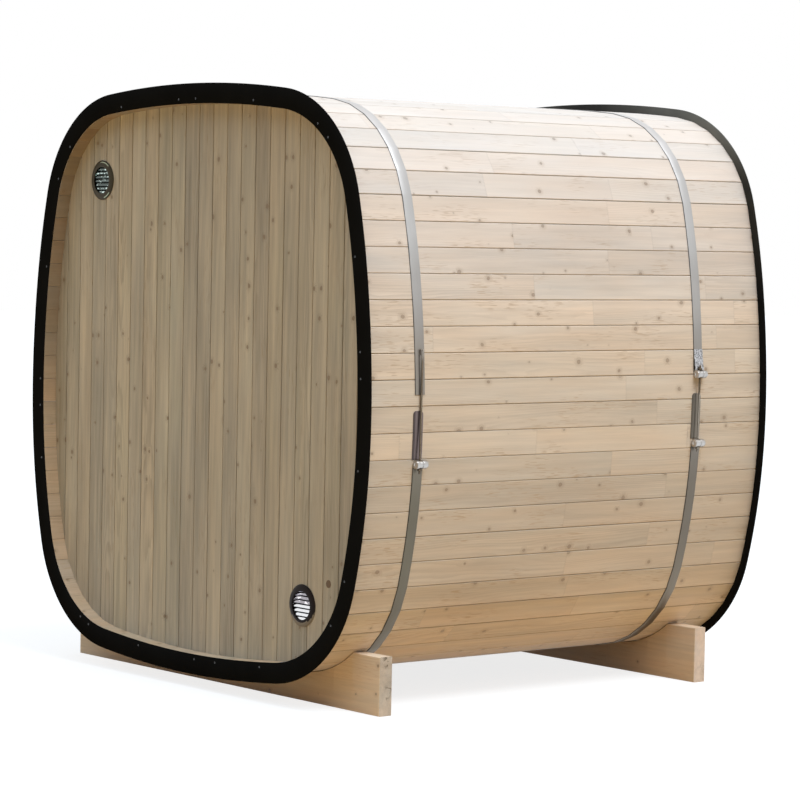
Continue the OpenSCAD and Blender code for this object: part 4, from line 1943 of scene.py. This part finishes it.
@dataclass(frozen=True)
class Studio:
    """Pale floor, soft sun and surroundings that light from above and are seen white."""

    sun: float = 2.10
    sun_from: tuple[float, float, float] = (0.52, 0.04, 0.85)
    sun_angle: float = 26.0
    sun_colour: Colour = (0.875, 0.935, 1.0)
    sky_low: Colour = (0.0, 0.0, 0.0)
    sky_high: Colour = (1.13, 1.37, 1.60)
    rise: Flat = (0.25, 0.95)
    floor_seen: float = 0.28
    floor_glow: float = 0.80
    floor_lit: Colour = (0.62, 0.39, 0.16)
    floor_half: float = 40.0
    floor_z: float = -0.0005

    def build_sky(self) -> None:
        """Builds the surroundings: brighter overhead for the light, white where they are seen."""
        world = bpy.data.worlds.new("surroundings")
        bpy.context.scene.world = world
        g = Graph(world)
        up = g.parts(g.call("TexCoord", {}, "Generated"))[2]
        low, high = self.rise
        share = g.call("MapRange", {"Value": up, "From Min": low, "From Max": high})
        colour = g.mix(g.seen(), g.mix(share, self.sky_low, self.sky_high), WHITE)
        g.end("World", g.call("Background", {"Color": colour}))

    def build_floor(self) -> None:
        """Builds the floor, which keeps the shadow."""
        g = Coat("floor_paint")
        seen = g.seen()
        material = g.close(
            Base_Color=g.mix(seen, self.floor_lit, (self.floor_seen,) * 3),
            Roughness=0.9,
            Specular_IOR_Level=0.0,
            Emission_Color=(*WHITE, 1.0),
            Emission_Strength=seen * self.floor_glow,
        )
        mesh = bpy.data.meshes.new("floor")
        h, z = self.floor_half, self.floor_z
        mesh.from_pydata([(-h, -h, z), (h, -h, z), (h, h, z), (-h, h, z)], [], [(0, 1, 2, 3)])
        mesh.materials.append(material)
        floor = in_scene("floor", mesh)

    def build_sun(self) -> None:
        """Builds the soft sun."""
        lamp = bpy.data.lights.new("soft_sun", "SUN")
        lamp.energy = self.sun
        lamp.angle = math.radians(self.sun_angle)
        lamp.color = self.sun_colour
        made = in_scene("soft_sun", lamp)
        made.rotation_euler = Vector(self.sun_from).to_track_quat("Z", "Y").to_euler()

    def build(self) -> None:
        """Builds the surroundings, the floor and the sun."""
        self.build_sky()
        self.build_floor()
        self.build_sun()


@dataclass(frozen=True)
class Camera:
    """The main view, from beside the vented end."""

    place: tuple[float, float, float] = (8.867, -7.2047, 1.6308)
    yaw: float = 0.88601
    pitch: float = -0.05489
    roll: float = 0.01929
    lens: float = 137.86
    sensor: float = 36.0
    clip: float = 200.0

    def build(self) -> None:
        """Builds the camera."""
        data = bpy.data.cameras.new("main_view")
        data.lens = self.lens
        data.sensor_width = self.sensor
        data.clip_end = self.clip
        made = in_scene("main_view", data)
        level = Vector((-math.sin(self.yaw), math.cos(self.yaw), 0)) * math.cos(self.pitch)
        look = level + Z * math.sin(self.pitch)
        right = look.cross(Z).normalized()
        up = right.cross(look)
        c, s = math.cos(self.roll), math.sin(self.roll)
        turned = Matrix((c * right + s * up, c * up - s * right, -look)).transposed()
        made.matrix_world = Matrix.Translation(self.place) @ turned.to_4x4()
        bpy.context.scene.camera = made


def main() -> None:
    """Builds the sauna, its surroundings and the camera."""
    logging.basicConfig(level=logging.INFO, format="%(message)s")
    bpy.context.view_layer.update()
    bpy.context.scene.view_settings.view_transform = "Standard"
    outline = Outline.measured()
    kit = Finishes()
    StaveShell(outline, (kit.stave, kit.reveal, kit.seam)).build()
    for side, paint, *woods in (
        (Side.FRONT, kit.black, kit.cradle, kit.cradle_end),
        (Side.REAR, kit.dusty, kit.rear_cradle, kit.rear_cradle_end),
    ):
        EndWall(outline, side, kit.wall, kit.plug).build()
        TrimRing(outline, side, paint, kit.screw).build()
        Cradle(outline, side, *woods).build()
        Tensioner(outline, side, kit).build()
    finishes = (kit.dim, kit.dim, kit.olive, kit.bevel, kit.glint)
    Vent("upper_vent", finishes, dip=0.0062, glints=((52.0, 98.0), (-78.0, -42.0))).build()
    finishes = (kit.polished, kit.patchy, kit.rim, kit.bevel, kit.glint)
    Vent("lower_vent", finishes, pale=0.0165).build()
    Studio().build()
    Camera().build()


if __name__ == "__main__":
    main()
